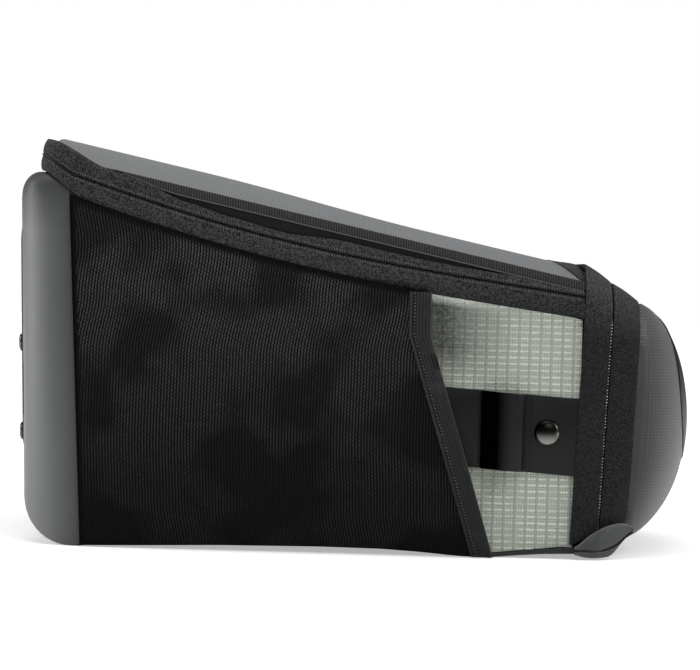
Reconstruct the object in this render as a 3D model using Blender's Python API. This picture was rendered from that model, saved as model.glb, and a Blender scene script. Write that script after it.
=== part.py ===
"""Handlebar bag with a moulded rear shell, a sloping zipped lid and a domed zipped front pocket.

+X points forwards, from the mounting plate to the front pocket, +Y to the bag's left and +Z up. The bag
stands on z = 0. Lengths in this file are millimetres, and MM turns them into the scene's metres.
"""

import math

import bmesh
import bpy
from mathutils import Matrix, Vector

MM = 0.001
GAP = 0.3  # between pieces that are sewn, glued or resting on each other
CENTRE_X = 4.36  # the drawing's x that comes to lie over the origin, so that the length is centred

# Body: the side panels' outer faces, and the slanted line where the rear shell's skirt ends
HALF_WIDTH = 85.0
PANEL = 4.0
SKIRT_X = -102.0
SKIRT_LEAN = 0.055
BODY_FRONT = 89.7
BASE_TOP = 3.6
BASE_FRONT = 97.2
BASE_HALF_WIDTH = 81.0  # inside the side panels
BASE_FLAT = 55.0  # half the width of its flat middle, at z = 0
BASE_UNDER = (
    # x, height of the underside along its long edges
    (-101.7, 0.2),
    (-78.0, 0.8),
    (-48.0, 1.7),
    (-10.0, 2.2),
    (14.0, 2.0),
    (30.0, 1.2),
    (45.0, 0.1),
    (57.0, 0.0),
    (66.0, 0.9),
    (76.0, 1.7),
    (97.2, 2.4),
)
BASE_EDGE = (
    # x, height of the base's upper edge under a side panel
    (-101.7, 3.5),
    (30.0, 3.5),
    (50.0, 1.5),
    (57.0, 1.5),
    (86.0, 4.6),
    (97.2, 4.6),
)
BOARD_THICK = 1.5
BOARD_HALF_WIDTH = 78.0
BOARD_X = (-96.0, 86.0)
WALL_FOOT = 4.0
PANEL_LIFT = 0.4  # from the base's edge to a side panel
PANEL_TUCK = 0.6  # how far the side panels' front edges reach under the front frame, low down
WALL_THICK = 1.9

# Rear shell, drawn upright and then leaned back
REAR_X = -125.2
REAR_LEAN = 0.033
REAR_TOP = 144.0
SHELL_WALL = 4.0
CORNER = 20.0
TOP_CORNER = 10.0
CORE_X = -116.4  # inner face of the thick foam pad behind the mounting plate
CORE_HALF_WIDTH = 66.0
CORE_Z = (32.0, 127.0)
TOP_MOUTH_REAR_X = -110.0  # the shell is open at the top in front of this, under the lid
TOP_MOUTH_HALF_WIDTH = 62.0
BEHIND = -140.0  # cutters start here, clear of the rear face
CUT_LENGTH = 60.0

# Mounting plate, its strap slots and the grooves that the straps run in
PLATE_HALF_WIDTH = 56.0
PLATE_Z = (35.0, 123.5)
PLATE_PROUD = 1.5
PLATE_THICK = 2.5
PLATE_CORNER = 8.0
GROOVE_X = -118.6
TUNNEL_Z = (49.5, 70.0)
TUNNEL_HALF_WIDTH = 69.0
BAR_STRAP_Y = 34.0
BAR_STRAP_WIDTH = 27.0
SLOT_HEIGHT = 6.0
UPPER_SLOT_Z = 112.0
LOWER_SLOT_Z = 84.0
SCREW_Y = 50.0
SCREW_Z = (42.0, 77.0)
SCREW_RADIUS = 1.8
SCREW_HEAD_RADIUS = 3.6
SCREW_HEAD = 1.4
SCREW_END = 1.4  # how far it stands out of the backing board
SOCKET_RADIUS = 1.5
BACKING_HALF_WIDTH = 60.0
BACKING_THICK = 2.0

# Lid: everything on it keeps a fixed height above the slanted seam at the top of the side panels
SEAM_FRONT = 93.0
SLOPE = 0.2097
SAG = 5.8  # how far the soft zip band droops half way along the right-hand side
REAR_RISE = 7.6  # how far the seam climbs over the rear shell
ZIP_ABOVE_SEAM = 8.3
ZIP_SLIT = 1.2
TRIM_ABOVE_ZIP = 2.2
TRIM_HEIGHT = 3.6
CROWN = (8.7, 6.3)  # behind and in front
CROWN_X = (-60.0, 30.0)  # between these it sinks
CROWN_POWER = 2.6
LID_LINING = 1.5
LINING_INSET = 5.0  # from the lid's edge
LID_FRONT = 88.6
LID_INSET = 2.5
RIM_CORNER = 14.0
EAR_START = -92.5  # behind this the upper tape climbs and stands above the lid's rear edge
EAR_RISE = 9.5
RIM_REAR = -120.0
TAPE = 1.2
COIL_HEIGHT = 1.3
COIL_THICK = 1.4
HINGE = (89.4, 114.6)

# Front frame: a tapering band round the pocket's mouth, split by the pocket's zip and leaning forwards
FRAME_X = (90.3, 113.0)
FRAME_ZIP_X = 101.6
FRAME_LEAN = 0.04
FRAME_LEAN_TOP = 98.0  # the x values above hold from here up
FRAME_HALF_WIDTH = (87.5, 78.5)
FRAME_TOP = (114.4, 100.2)
FRAME_BOTTOM = (5.0, 4.2)
FRAME_CORNER = (16.0, 22.0)
FRAME_THICK = 2.0
FRAME_LOW_CORNER = (1.0, 30.0)
FRAME_COIL = (2.6, 1.5)  # one row of the coil: along x, and its thickness
DOME_DEPTH = 24.9
DOME_CENTRE_Z = 52.0
DOME_WALL = 3.0
DOME_RINGS = 7
DOME_SEAM = 1.0
POCKET_HINGE = (97.8, 2.6)
PATCH_CENTRE_Z = 66.0
PATCH_HALF = (52.0, 29.0)
PATCH_THICK = 0.9

# Rubber cap over each end of the pocket's zip, whose outside bends inwards along the pocket's corner
GUARD = (
    # x, lower edge, upper edge, distance of the outside from the middle
    (88.6, 2.2, 4.6, 88.9),
    (91.0, 1.3, 6.6, 88.4),
    (94.0, 0.9, 9.4, 87.9),
    (98.6, 0.9, 12.2, 87.0),
    (103.2, 1.5, 13.7, 83.9),
    (107.0, 6.0, 14.1, 79.9),
    (109.6, 8.6, 13.7, 76.9),
    (112.4, 10.4, 11.9, 73.9),
)

GUARD_CLEAR = 85.6  # it turns with the pocket beside the base, so it keeps this far out there

# Mesh side pockets and the bound mouth that leans forwards
POCKET_BULGE = 6.6
POCKET_SHEET = 1.0
POCKET_BOTTOM = 0.3  # above the base's underside
MOUTH_X = 31.0
MOUTH_BEND_Z = 85.0
MOUTH_LEAN = 0.31
BINDING_WIDTH = 8.5

# Strap with a raised loop and a domed rivet, one on each side
STRAP_START = 33.0
STRAP_Z = 50.2
STRAP_SLOPE = 0.065
STRAP_WIDTH = 30.0
STRAP_THICK = 1.2
LOOP_X = (51.3, 68.0)
LOOP_RISE = 5.6
RIVET = (76.9, 48.7)
RIVET_RADIUS = 5.0
RIVET_POST = 1.4

# Zip sliders and their pulls, all on the left-hand side
LID_SLIDER_LIFT = 0.5  # from the tape to the slider's plate
FRONT_SLIDER_LIFT = 1.4  # more here, because the pocket's tape passes under the plate as it opens
SLIDER_PLATE = 1.4
BAR_HEIGHT = 3.4
BAR = 1.0
PULL_LENGTH = 17.0
PULL_WIDTH = 6.0
PULL_THICK = 1.2
LID_SLIDER_X = (-8.0, 6.0)
FRONT_SLIDER_Z = 36.0


def smooth_step(t):
    t = min(1.0, max(0.0, t))
    return t * t * (3 - 2 * t)


def along_table(table, value):
    """The height at a place on a line drawn through (place, height) points."""
    for (low, first), (high, last) in zip(table, table[1:]):
        if value < high:
            return first + (last - first) * max(0.0, value - low) / (high - low)
    return table[-1][1]


def material(name, colour, roughness, metallic=0.0):
    made = bpy.data.materials.new(name)
    made.use_nodes = True
    made.diffuse_color = (*colour, 1.0)
    shader = made.node_tree.nodes["Principled BSDF"]
    shader.inputs["Base Color"].default_value = (*colour, 1.0)
    shader.inputs["Roughness"].default_value = roughness
    shader.inputs["Metallic"].default_value = metallic
    return made


def clear_scene():
    for obj in list(bpy.data.objects):
        bpy.data.objects.remove(obj, do_unlink=True)


def pivot(name, point):
    """An empty on a joint's axis, which carries the pieces that move with it."""
    empty = bpy.data.objects.new(name, None)
    empty.empty_display_size = 0.02
    empty.location = (Vector(point) - Vector((CENTRE_X, 0, 0))) * MM
    bpy.context.scene.collection.objects.link(empty)
    return empty


def place(name, bm, finish, carrier=None, smooth=35.0, merge=0.0005):
    """Turns a bmesh drawn in millimetres into a named object, carried by an empty or standing alone."""
    bmesh.ops.remove_doubles(bm, verts=bm.verts, dist=merge)
    bmesh.ops.recalc_face_normals(bm, faces=bm.faces)
    bmesh.ops.translate(bm, vec=(-CENTRE_X, 0, 0), verts=bm.verts)
    bmesh.ops.scale(bm, vec=(MM, MM, MM), verts=bm.verts)
    if carrier is not None:
        bmesh.ops.translate(bm, vec=-carrier.location, verts=bm.verts)
    mesh = bpy.data.meshes.new(name)
    bm.to_mesh(mesh)
    bm.free()
    mesh.shade_smooth()
    mesh.set_sharp_from_angle(angle=math.radians(smooth))
    obj = bpy.data.objects.new(name, mesh)
    bpy.context.scene.collection.objects.link(obj)
    if finish is not None:
        mesh.materials.append(finish)
    obj.parent = carrier
    return obj


def combine(obj, tool, operation="DIFFERENCE"):
    """Cuts or joins obj with a hidden helper object, by a live Boolean."""
    tool.hide_render = True
    tool.display_type = "WIRE"
    step = obj.modifiers.new(tool.name, "BOOLEAN")
    step.operation = operation
    step.object = tool
    return obj


def swept(sections):
    """A solid drawn by extruding the first section's face through all the others."""
    bm = bmesh.new()
    first = bm.faces.new([bm.verts.new(p) for p in sections[0]])
    end = first
    for section in sections[1:]:
        made = bmesh.ops.extrude_face_region(bm, geom=[end])["geom"]
        if end is not first:
            bmesh.ops.delete(bm, geom=[end], context="FACES_ONLY")
        end = next(part for part in made if isinstance(part, bmesh.types.BMFace))
        for vert, point in zip(end.verts, section):
            vert.co = Vector(point)
    return bm


def prism(outline, along, start, stop):
    """An outline of two coordinates, extruded along axis 0, 1 or 2 from start to stop."""

    def section(level):
        points = []
        for a, b in outline:
            point = [a, b]
            point.insert(along, level)
            points.append(point)
        return points

    return swept([section(start), section(stop)])


def block(low, high):
    bm = bmesh.new()
    bmesh.ops.create_cube(bm, size=1.0)
    size = Vector(high) - Vector(low)
    bmesh.ops.scale(bm, vec=size, verts=bm.verts)
    bmesh.ops.translate(bm, vec=(Vector(low) + Vector(high)) / 2, verts=bm.verts)
    return bm


def round_bar(centre, axis, radius, length, segments=16):
    """A cylinder centred on a point."""
    bm = bmesh.new()
    bmesh.ops.create_cone(
        bm, cap_ends=True, segments=segments, radius1=radius, radius2=radius, depth=length
    )
    turn = Vector((0, 0, 1)).rotation_difference(Vector(axis)).to_matrix().to_4x4()
    bmesh.ops.transform(bm, matrix=Matrix.Translation(Vector(centre)) @ turn, verts=bm.verts)
    return bm


def arc(centre, radius, start, stop, steps):
    """Points on an arc, with angles in degrees."""
    found = []
    for i in range(steps + 1):
        angle = math.radians(start + (stop - start) * i / steps)
        found.append((centre[0] + radius * math.cos(angle), centre[1] + radius * math.sin(angle)))
    return found


def rounded_outline(half_width, bottom, top, radius, low_radius, steps=5):
    """A rounded rectangle in (y, z), as a list of points."""
    return (
        arc((half_width - low_radius, bottom + low_radius), low_radius, -90, 0, steps)
        + arc((half_width - radius, top - radius), radius, 0, 90, steps)
        + arc((-half_width + radius, top - radius), radius, 90, 180, steps)
        + arc((-half_width + low_radius, bottom + low_radius), low_radius, 180, 270, steps)
    )


def frame_shift(z):
    """How far back the leaning front frame lies at a height."""
    return -FRAME_LEAN * max(0.0, FRAME_LEAN_TOP - z)


def skirt_x(z):
    """Where the rear shell's skirt ends and the side panels begin."""
    return SKIRT_X - SKIRT_LEAN * z


def lean(bm):
    """Leans pieces of the rear shell back: its rear face a little, its skirt's edge a little more."""
    for vert in bm.verts:
        share = (vert.co.x - REAR_X) / (SKIRT_X - REAR_X)
        vert.co.x -= vert.co.z * (REAR_LEAN + (SKIRT_LEAN - REAR_LEAN) * max(0.0, share))
    return bm


def straight_seam(x):
    return SEAM_FRONT + SLOPE * (BODY_FRONT - x)


def droop(x, y):
    """How far the soft right-hand zip band hangs below a straight line."""
    if y > 0 or not RIM_REAR + RIM_CORNER < x < BODY_FRONT:
        return 0.0
    share = (x - RIM_REAR - RIM_CORNER) / (BODY_FRONT - RIM_REAR - RIM_CORNER)
    return SAG * math.sin(math.pi * share**0.85) ** 1.1


def rise(x):
    return smooth_step((RIM_REAR + RIM_CORNER - x) / RIM_CORNER)


def shoulder_height(x, y):
    """The height of the rear shell's rounded shoulder under a point of the rim's corner."""
    inside = HALF_WIDTH - abs(y)
    if x > RIM_REAR + RIM_CORNER or inside <= 0:
        return 0.0
    reach = TOP_CORNER - min(inside, TOP_CORNER)
    return REAR_TOP - TOP_CORNER + math.sqrt(TOP_CORNER**2 - reach**2) + 2 * GAP


def side_seam(x, side):
    """The seam at the top of a side panel."""
    return straight_seam(x) - droop(x, side)


def seam_height(x, y):
    return max(side_seam(x, y) + REAR_RISE * rise(x), shoulder_height(x, y))


def zip_height(x, y):
    """The slit between the two tapes. It stays lower than the seam does where both climb the shell."""
    return side_seam(x, y) + (REAR_RISE - 2.0) * rise(x) + ZIP_ABOVE_SEAM


def trim_height(x):
    """The underside of the lid's edge trim, which is straight because the lid is stiff."""
    return straight_seam(x) + ZIP_ABOVE_SEAM + TRIM_ABOVE_ZIP


def rim_path():
    """The bag's upper rim seen from above, from the right-hand front round the rear to the left-hand front.

    Each station is (x, y, outward x, outward y)."""
    straight = RIM_REAR + RIM_CORNER
    found = []
    for i in range(12):
        found.append((LID_FRONT + (EAR_START - LID_FRONT) * i / 11, -HALF_WIDTH, 0.0, -1.0))
    for i in (1, 2):
        found.append((EAR_START + (straight - EAR_START) * i / 2, -HALF_WIDTH, 0.0, -1.0))
    for i in range(1, 7):
        angle = math.radians(-90 - 90 * i / 6)
        out = (math.cos(angle), math.sin(angle))
        found.append(
            (straight + RIM_CORNER * out[0], -HALF_WIDTH + RIM_CORNER + RIM_CORNER * out[1], *out)
        )
    return found + [(x, -y, a, -b) for x, y, a, b in reversed(found)]


def ribbon(low, high, low_offset, high_offset, thick):
    """A band that follows the rim.

    low and high give its heights, and the offsets shift its inner face outwards."""
    sections = []
    for x, y, a, b in rim_path():
        low_in, high_in = low_offset(x), high_offset(x)
        sections.append(
            [
                (x + a * low_in, y + b * low_in, low(x, y)),
                (x + a * (low_in + thick), y + b * (low_in + thick), low(x, y)),
                (x + a * (high_in + thick), y + b * (high_in + thick), high(x, y)),
                (x + a * high_in, y + b * high_in, high(x, y)),
            ]
        )
    return swept(sections)


def make_rear_shell(finish):
    """The moulded foam cap at the rear, with a thick pad behind the mounting plate."""

    def cap(inset, z_low, z_high, x_front):
        bm = block((REAR_X + inset, -HALF_WIDTH + inset, z_low), (x_front, HALF_WIDTH - inset, z_high))
        crease = bm.edges.layers.float.new("bevel_weight_edge")
        for edge in bm.edges:
            at_rear = all(v.co.x < REAR_X + inset + 1 for v in edge.verts)
            at_top = all(v.co.z > (z_low + z_high) / 2 for v in edge.verts)
            at_side = edge.verts[0].co.y * edge.verts[1].co.y > 0
            if at_rear or (at_top and at_side):
                radius = TOP_CORNER if at_top else CORNER
                edge[crease] = (radius - inset) / (CORNER - inset)
        return bm

    def bevelled(name, bm, width):
        obj = place(name, bm, None, merge=0.0001)
        bevel = obj.modifiers.new("round", "BEVEL")
        bevel.limit_method = "WEIGHT"
        bevel.width = width * MM
        bevel.segments = 6
        obj.data.update()
        graph = bpy.context.evaluated_depsgraph_get()
        rounded = bmesh.new()
        rounded.from_mesh(obj.evaluated_get(graph).to_mesh())
        bpy.data.objects.remove(obj, do_unlink=True)
        bmesh.ops.scale(rounded, vec=(1 / MM, 1 / MM, 1 / MM), verts=rounded.verts)
        bmesh.ops.translate(rounded, vec=(CENTRE_X, 0, 0), verts=rounded.verts)
        return lean(rounded)

    outer = bevelled("cap_outside", cap(0.0, 0.0, REAR_TOP, SKIRT_X), CORNER)
    shell = place("rear_shell", outer, finish)
    inner = bevelled(
        "cap_inside",
        cap(SHELL_WALL, SHELL_WALL, REAR_TOP - SHELL_WALL, SKIRT_X + 30),
        CORNER - SHELL_WALL,
    )
    combine(shell, place("rear_hollow", inner, None))
    top_mouth = block(
        (TOP_MOUTH_REAR_X, -TOP_MOUTH_HALF_WIDTH, REAR_TOP - 10),
        (SKIRT_X + 30, TOP_MOUTH_HALF_WIDTH, REAR_TOP + 20),
    )
    combine(shell, place("rear_top_mouth", lean(top_mouth), None))
    core = block(
        (REAR_X + SHELL_WALL - 0.5, -CORE_HALF_WIDTH, CORE_Z[0]), (CORE_X, CORE_HALF_WIDTH, CORE_Z[1])
    )
    combine(shell, place("rear_pad", lean(core), None), "UNION")
    recess = rounded_outline(
        PLATE_HALF_WIDTH + GAP, PLATE_Z[0] - GAP, PLATE_Z[1] + GAP, PLATE_CORNER, PLATE_CORNER, 4
    )
    plate_back = REAR_X - PLATE_PROUD + PLATE_THICK
    combine(shell, place("plate_recess", lean(prism(recess, 0, BEHIND, plate_back + GAP)), None))
    tunnel = block(
        (BEHIND, -TUNNEL_HALF_WIDTH, TUNNEL_Z[0]), (GROOVE_X, TUNNEL_HALF_WIDTH, TUNNEL_Z[1])
    )
    combine(shell, place("tunnel_groove", lean(tunnel), None))
    for side, name in ((-1, "right"), (1, "left")):
        groove = block(
            (
                BEHIND,
                side * BAR_STRAP_Y - BAR_STRAP_WIDTH / 2,
                LOWER_SLOT_Z - SLOT_HEIGHT / 2,
            ),
            (GROOVE_X, side * BAR_STRAP_Y + BAR_STRAP_WIDTH / 2, UPPER_SLOT_Z + SLOT_HEIGHT / 2),
        )
        combine(shell, place(f"bar_groove_{name}", lean(groove), None))
    for i, (y, z) in enumerate(screw_places()):
        hole = round_bar((REAR_X, y, z), (1, 0, 0), SCREW_RADIUS + GAP, CUT_LENGTH)
        combine(shell, place(f"shell_screw_hole_{i}", lean(hole), None))
    return shell


def screw_places():
    return [(side * SCREW_Y, z) for z in SCREW_Z for side in (-1, 1)]


def make_mounting_plate(finish, screw_finish, board_finish):
    """The nylon plate that the straps hold, its screws, and the board inside that the screws pull on."""
    front = REAR_X - PLATE_PROUD
    outline = rounded_outline(PLATE_HALF_WIDTH, *PLATE_Z, PLATE_CORNER, PLATE_CORNER, 4)
    plate = place("mount_plate", lean(prism(outline, 0, front, front + PLATE_THICK)), finish)
    for side, word in ((-1, "right"), (1, "left")):
        for z, level in ((UPPER_SLOT_Z, "upper"), (LOWER_SLOT_Z, "lower")):
            slot = rounded_outline(
                BAR_STRAP_WIDTH / 2, z - SLOT_HEIGHT / 2, z + SLOT_HEIGHT / 2, 2.5, 2.5, 3
            )
            slot = [(y + side * BAR_STRAP_Y, h) for y, h in slot]
            cutter = prism(slot, 0, BEHIND, BEHIND + CUT_LENGTH / 2)
            combine(plate, place(f"slot_{level}_{word}", lean(cutter), None))
    board_x = (CORE_X + GAP, CORE_X + GAP + BACKING_THICK)
    board_outline = rounded_outline(BACKING_HALF_WIDTH, CORE_Z[0] + 2, CORE_Z[1] - 2, 6.0, 6.0, 3)
    board = place("backing_board", lean(prism(board_outline, 0, *board_x)), board_finish)
    for i, (y, z) in enumerate(screw_places()):
        hole = round_bar((REAR_X, y, z), (1, 0, 0), SCREW_RADIUS + GAP, CUT_LENGTH)
        cutter = place(f"plate_screw_hole_{i}", lean(hole), None)
        combine(plate, cutter)
        combine(board, cutter)
        make_screw(f"mount_screw_{i + 1}", y, z, front, board_x[1] + SCREW_END, screw_finish)


def make_screw(name, y, z, face, tip, finish):
    """A pan-head screw turned about its own axis, with a hexagon socket."""
    head = face - GAP
    shaft = round_bar(((head + tip) / 2, y, z), (1, 0, 0), SCREW_RADIUS, tip - head, 14)
    screw = place(name, lean(shaft), finish)
    cap = bmesh.new()
    bmesh.ops.create_cone(
        cap,
        cap_ends=True,
        segments=18,
        radius1=SCREW_HEAD_RADIUS - 0.9,
        radius2=SCREW_HEAD_RADIUS,
        depth=SCREW_HEAD,
    )
    turn = Vector((0, 0, 1)).rotation_difference(Vector((1, 0, 0))).to_matrix().to_4x4()
    middle = Matrix.Translation((head - SCREW_HEAD / 2 + 0.05, y, z))
    bmesh.ops.transform(cap, matrix=middle @ turn, verts=cap.verts)
    combine(screw, place(f"{name}_head", lean(cap), None), "UNION")
    socket = round_bar((head - SCREW_HEAD, y, z), (1, 0, 0), SOCKET_RADIUS, 1.6, 6)
    combine(screw, place(f"{name}_socket", lean(socket), None))
    return screw


def make_side_panels(finish):
    """The two padded fabric walls, whose upper edges follow the seam."""
    for side, word in ((-1, "right"), (1, "left")):
        rear_top = side_seam(RIM_REAR + RIM_CORNER, side) - 3.0
        outline = [(skirt_x(0) + GAP + 0.5, BASE_EDGE[0][1] + PANEL_LIFT)]
        outline += [(x, z + PANEL_LIFT) for x, z in BASE_EDGE[1:-1]]
        foot = BASE_EDGE[-1][1] + PANEL_LIFT
        outline.append((FRAME_X[0] + frame_shift(foot) + PANEL_TUCK, foot))
        upright = FRAME_LEAN_TOP - (FRAME_X[0] + PANEL_TUCK - BODY_FRONT + GAP) / FRAME_LEAN
        outline.append((BODY_FRONT - GAP, upright))
        for i in range(15):
            x = BODY_FRONT - GAP - i * (BODY_FRONT - RIM_REAR - RIM_CORNER) / 14
            outline.append((x, side_seam(x, side) - GAP))
        outline.append((skirt_x(rear_top) + GAP + 0.5, rear_top))
        faces = sorted((side * (HALF_WIDTH - PANEL), side * HALF_WIDTH))
        panel = place(f"side_panel_{word}", prism(outline, 1, *faces), finish)
        hole = round_bar((RIVET[0], side * HALF_WIDTH, RIVET[1]), (0, 1, 0), RIVET_POST + GAP, 20)
        combine(panel, place(f"panel_rivet_hole_{word}", hole, None))


def make_bottom(finish, board_finish):
    """The moulded foam base, flat in the middle and wavy along its edges, and the stiff board on it."""
    sections = []
    for x in sorted({x for x, _ in BASE_UNDER + BASE_EDGE}):
        under, edge = along_table(BASE_UNDER, x), along_table(BASE_EDGE, x)
        side = [
            (BASE_FLAT, 0.0),
            (HALF_WIDTH - 1.0, under),
            (HALF_WIDTH, under + 0.7),
            (HALF_WIDTH, edge),
            (BASE_HALF_WIDTH, edge),
            (BASE_HALF_WIDTH, BASE_TOP),
        ]
        sections.append([(x, y, z) for y, z in side + [(-y, z) for y, z in reversed(side)]])
    place("bottom_shell", swept(sections), finish)
    board = rounded_outline(BOARD_HALF_WIDTH, BASE_TOP + GAP, BASE_TOP + GAP + BOARD_THICK, 0.5, 0.5, 2)
    place("bottom_board", prism(board, 0, *BOARD_X), board_finish)


def crown(x, y):
    """How far the lid's top is crowned above its edge."""
    share = min(1.0, abs(y) / (HALF_WIDTH - LID_INSET))
    sunk = smooth_step((x - CROWN_X[0]) / (CROWN_X[1] - CROWN_X[0]))
    return (CROWN[0] + (CROWN[1] - CROWN[0]) * sunk) * (1 - share**CROWN_POWER)


def make_front_wall(finish):
    """The wall between the main compartment and the front pocket. Its top edge follows the lid's crown."""
    half = HALF_WIDTH - PANEL - GAP
    outline = [(-half, WALL_FOOT), (half, WALL_FOOT)]
    for i in range(17):
        y = half - i * half / 8
        outline.append((y, trim_height(LID_FRONT) + crown(LID_FRONT, y) - 0.6))
    x_high = BODY_FRONT - GAP
    place("front_wall", prism(outline, 0, x_high - WALL_THICK, x_high), finish)


def frame_outline(x, inset, open_bottom=False):
    """The front frame's outline in (y, z) at x, drawn in by inset."""
    share = (x - FRAME_X[0]) / (FRAME_X[1] - FRAME_X[0])

    def between(pair):
        return pair[0] + (pair[1] - pair[0]) * share

    bottom = between(FRAME_BOTTOM) + inset
    return rounded_outline(
        between(FRAME_HALF_WIDTH) - inset,
        -20.0 if open_bottom else bottom,
        between(FRAME_TOP) - inset,
        between(FRAME_CORNER) - inset,
        0.5 if open_bottom else max(0.5, between(FRAME_LOW_CORNER) - inset),
        6,
    )


def frame_slice(x_low, x_high, inset, open_bottom=False):
    def section(x):
        return [(x + frame_shift(z), y, z) for y, z in frame_outline(x, inset, open_bottom)]

    return swept([section(x_low), section(x_high)])


def hoop(name, x_low, x_high, inset, thick, finish, open_bottom, carrier=None):
    """One band of the front frame: a slice of its taper with the middle cut out."""
    made = place(name, frame_slice(x_low, x_high, inset), finish, carrier)
    hollow = frame_slice(x_low - 2, x_high + 2, inset + thick, open_bottom)
    combine(made, place(f"{name}_middle", hollow, None, carrier))
    return made


def make_front_frame(tape, coil, carrier):
    """The two tapes of the pocket's zip and the two rows of its coil."""
    half_slit = ZIP_SLIT / 4
    hoop("front_zip_tape_body", FRAME_X[0], FRAME_ZIP_X - half_slit, 0.0, FRAME_THICK, tape, True)
    hoop(
        "front_zip_tape_pocket", FRAME_ZIP_X + half_slit, FRAME_X[1], 0.0, FRAME_THICK, tape, False, carrier
    )
    inset, (wide, thick) = FRAME_THICK + GAP, FRAME_COIL
    low, middle_low = FRAME_ZIP_X - wide, FRAME_ZIP_X - half_slit
    middle_high, high = FRAME_ZIP_X + half_slit, FRAME_ZIP_X + wide
    hoop("front_zip_coil_body", low, middle_low, inset, thick, coil, True)
    hoop("front_zip_coil_pocket", middle_high, high, inset, thick, coil, False, carrier)


def reach(y, z, inset):
    """How far out the dome's drawn-in outline lies on the ray through (y, z), in lengths of that ray."""
    ray = Vector((y, z - DOME_CENTRE_Z))
    outline = [Vector((a, b - DOME_CENTRE_Z)) for a, b in frame_outline(FRAME_X[1], DOME_SEAM + inset)]
    found = 0.0
    for first, second in zip(outline, outline[1:] + outline[:1]):
        turn = ray.cross(second - first)
        if abs(turn) < 1e-9:
            continue
        along = first.cross(second - first) / turn
        across = first.cross(ray) / turn
        if along > 0 and -0.001 <= across <= 1.001:
            found = max(found, along)
    return found


def dome_front(y, z, inset, depth):
    """The dome's x at (y, z).

    Its level lines are ellipses near the middle, and the frame's outline at its base."""
    half_y = FRAME_HALF_WIDTH[1] - DOME_SEAM - inset
    half_z = FRAME_TOP[1] - DOME_SEAM - inset - DOME_CENTRE_Z
    if abs(y) + abs(z - DOME_CENTRE_Z) < 1e-6:
        return FRAME_X[1] + GAP + depth
    share = min(1.0, 1 / reach(y, z, inset))
    ellipse = (y / half_y) ** 2 + ((z - DOME_CENTRE_Z) / half_z) ** 2
    level = ellipse + (share**2 - ellipse) * share**2
    base = FRAME_X[1] + GAP + frame_shift(z) * level**2
    return base + depth * math.sqrt(max(0.0, 1 - level))


def dome_rings(inset, depth):
    """The dome's outlines from its base to its tip, for its outside or, drawn in, for its inside."""
    outline = frame_outline(FRAME_X[1], DOME_SEAM + inset)
    rings = []
    for i in range(DOME_RINGS):
        shrink = math.cos(math.pi / 2 * i / (DOME_RINGS - 0.6))
        ring = [(y * shrink, DOME_CENTRE_Z + (z - DOME_CENTRE_Z) * shrink) for y, z in outline]
        rings.append([(dome_front(y, z, inset, depth), y, z) for y, z in ring])
    return rings


def make_dome(shell_finish, patch_finish, carrier):
    """The moulded front of the pocket, and the smooth panel bonded to it."""
    inside = dome_rings(DOME_WALL, DOME_DEPTH - DOME_WALL)
    shell = swept([*reversed(inside), *dome_rings(0.0, DOME_DEPTH)])
    place("dome_shell", shell, shell_finish, carrier, 50)

    bm = bmesh.new()
    bmesh.ops.create_grid(bm, x_segments=12, y_segments=10, size=1.0)
    for vert in bm.verts:
        u, v = vert.co.x, vert.co.y
        y = PATCH_HALF[0] * u * math.sqrt(1 - 0.42 * v * v)
        z = PATCH_CENTRE_Z + PATCH_HALF[1] * v * math.sqrt(1 - 0.42 * u * u)
        vert.co = Vector((dome_front(y, z, 0.0, DOME_DEPTH) + 2 * GAP, y, z))
    made = bmesh.ops.extrude_face_region(bm, geom=list(bm.faces))["geom"]
    front = [part for part in made if isinstance(part, bmesh.types.BMVert)]
    bmesh.ops.translate(bm, vec=(PATCH_THICK, 0, 0), verts=front)
    place("dome_patch", bm, patch_finish, carrier, 50)


def frame_side(x, z):
    """How far from the middle the front frame's outside lies at (x, z)."""
    share = min(1.0, max(0.0, (x - frame_shift(z) - FRAME_X[0]) / (FRAME_X[1] - FRAME_X[0])))
    half, bottom, corner = (
        first + (last - first) * share
        for first, last in (FRAME_HALF_WIDTH, FRAME_BOTTOM, FRAME_LOW_CORNER)
    )
    under = max(0.0, bottom + corner - z)
    return half - corner + math.sqrt(max(0.0, corner**2 - under**2))


def make_zip_end_guards(finish, carrier):
    """The rubber caps over the two ends of the pocket's zip: a leaf with a lip below it."""
    for side, word in ((-1, "right"), (1, "left")):
        bm = bmesh.new()
        bmesh.ops.create_grid(bm, x_segments=len(GUARD) - 1, y_segments=4, size=0.5)
        inner = {}
        for vert in bm.verts:
            x, low, high, outer = GUARD[round((vert.co.x + 0.5) * (len(GUARD) - 1))]
            z = low + (high - low) * (vert.co.y + 0.5)
            near = max(frame_side(x, z), GUARD_CLEAR if x < BASE_FRONT + 2 else 0.0, outer - 4.0) + GAP
            inner[vert] = (Vector((x, side * near, z)), Vector((x, side * max(outer, near + 1.2), z)))
        made = bmesh.ops.extrude_face_region(bm, geom=list(bm.faces))["geom"]
        ahead = [part for part in made if isinstance(part, bmesh.types.BMVert)]
        back = [vert for vert in bm.verts if vert in inner]
        by_place = {tuple(vert.co): inner[vert] for vert in back}
        for vert in ahead:
            vert.co = by_place[tuple(vert.co)][1]
        for vert in back:
            vert.co = inner[vert][0]
        place(f"zip_end_guard_{word}", bm, finish, carrier)


def make_pocket_hinge(finish):
    """The fabric strip sewn to the base's front edge, which the pocket's zip tape hangs on."""
    half_width = FRAME_HALF_WIDTH[0] - 14.0
    strip = block((BODY_FRONT + 0.2, -half_width, 3.9), (POCKET_HINGE[0] - 0.8, half_width, 4.9))
    place("pocket_hinge_tape", strip, finish)


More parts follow.
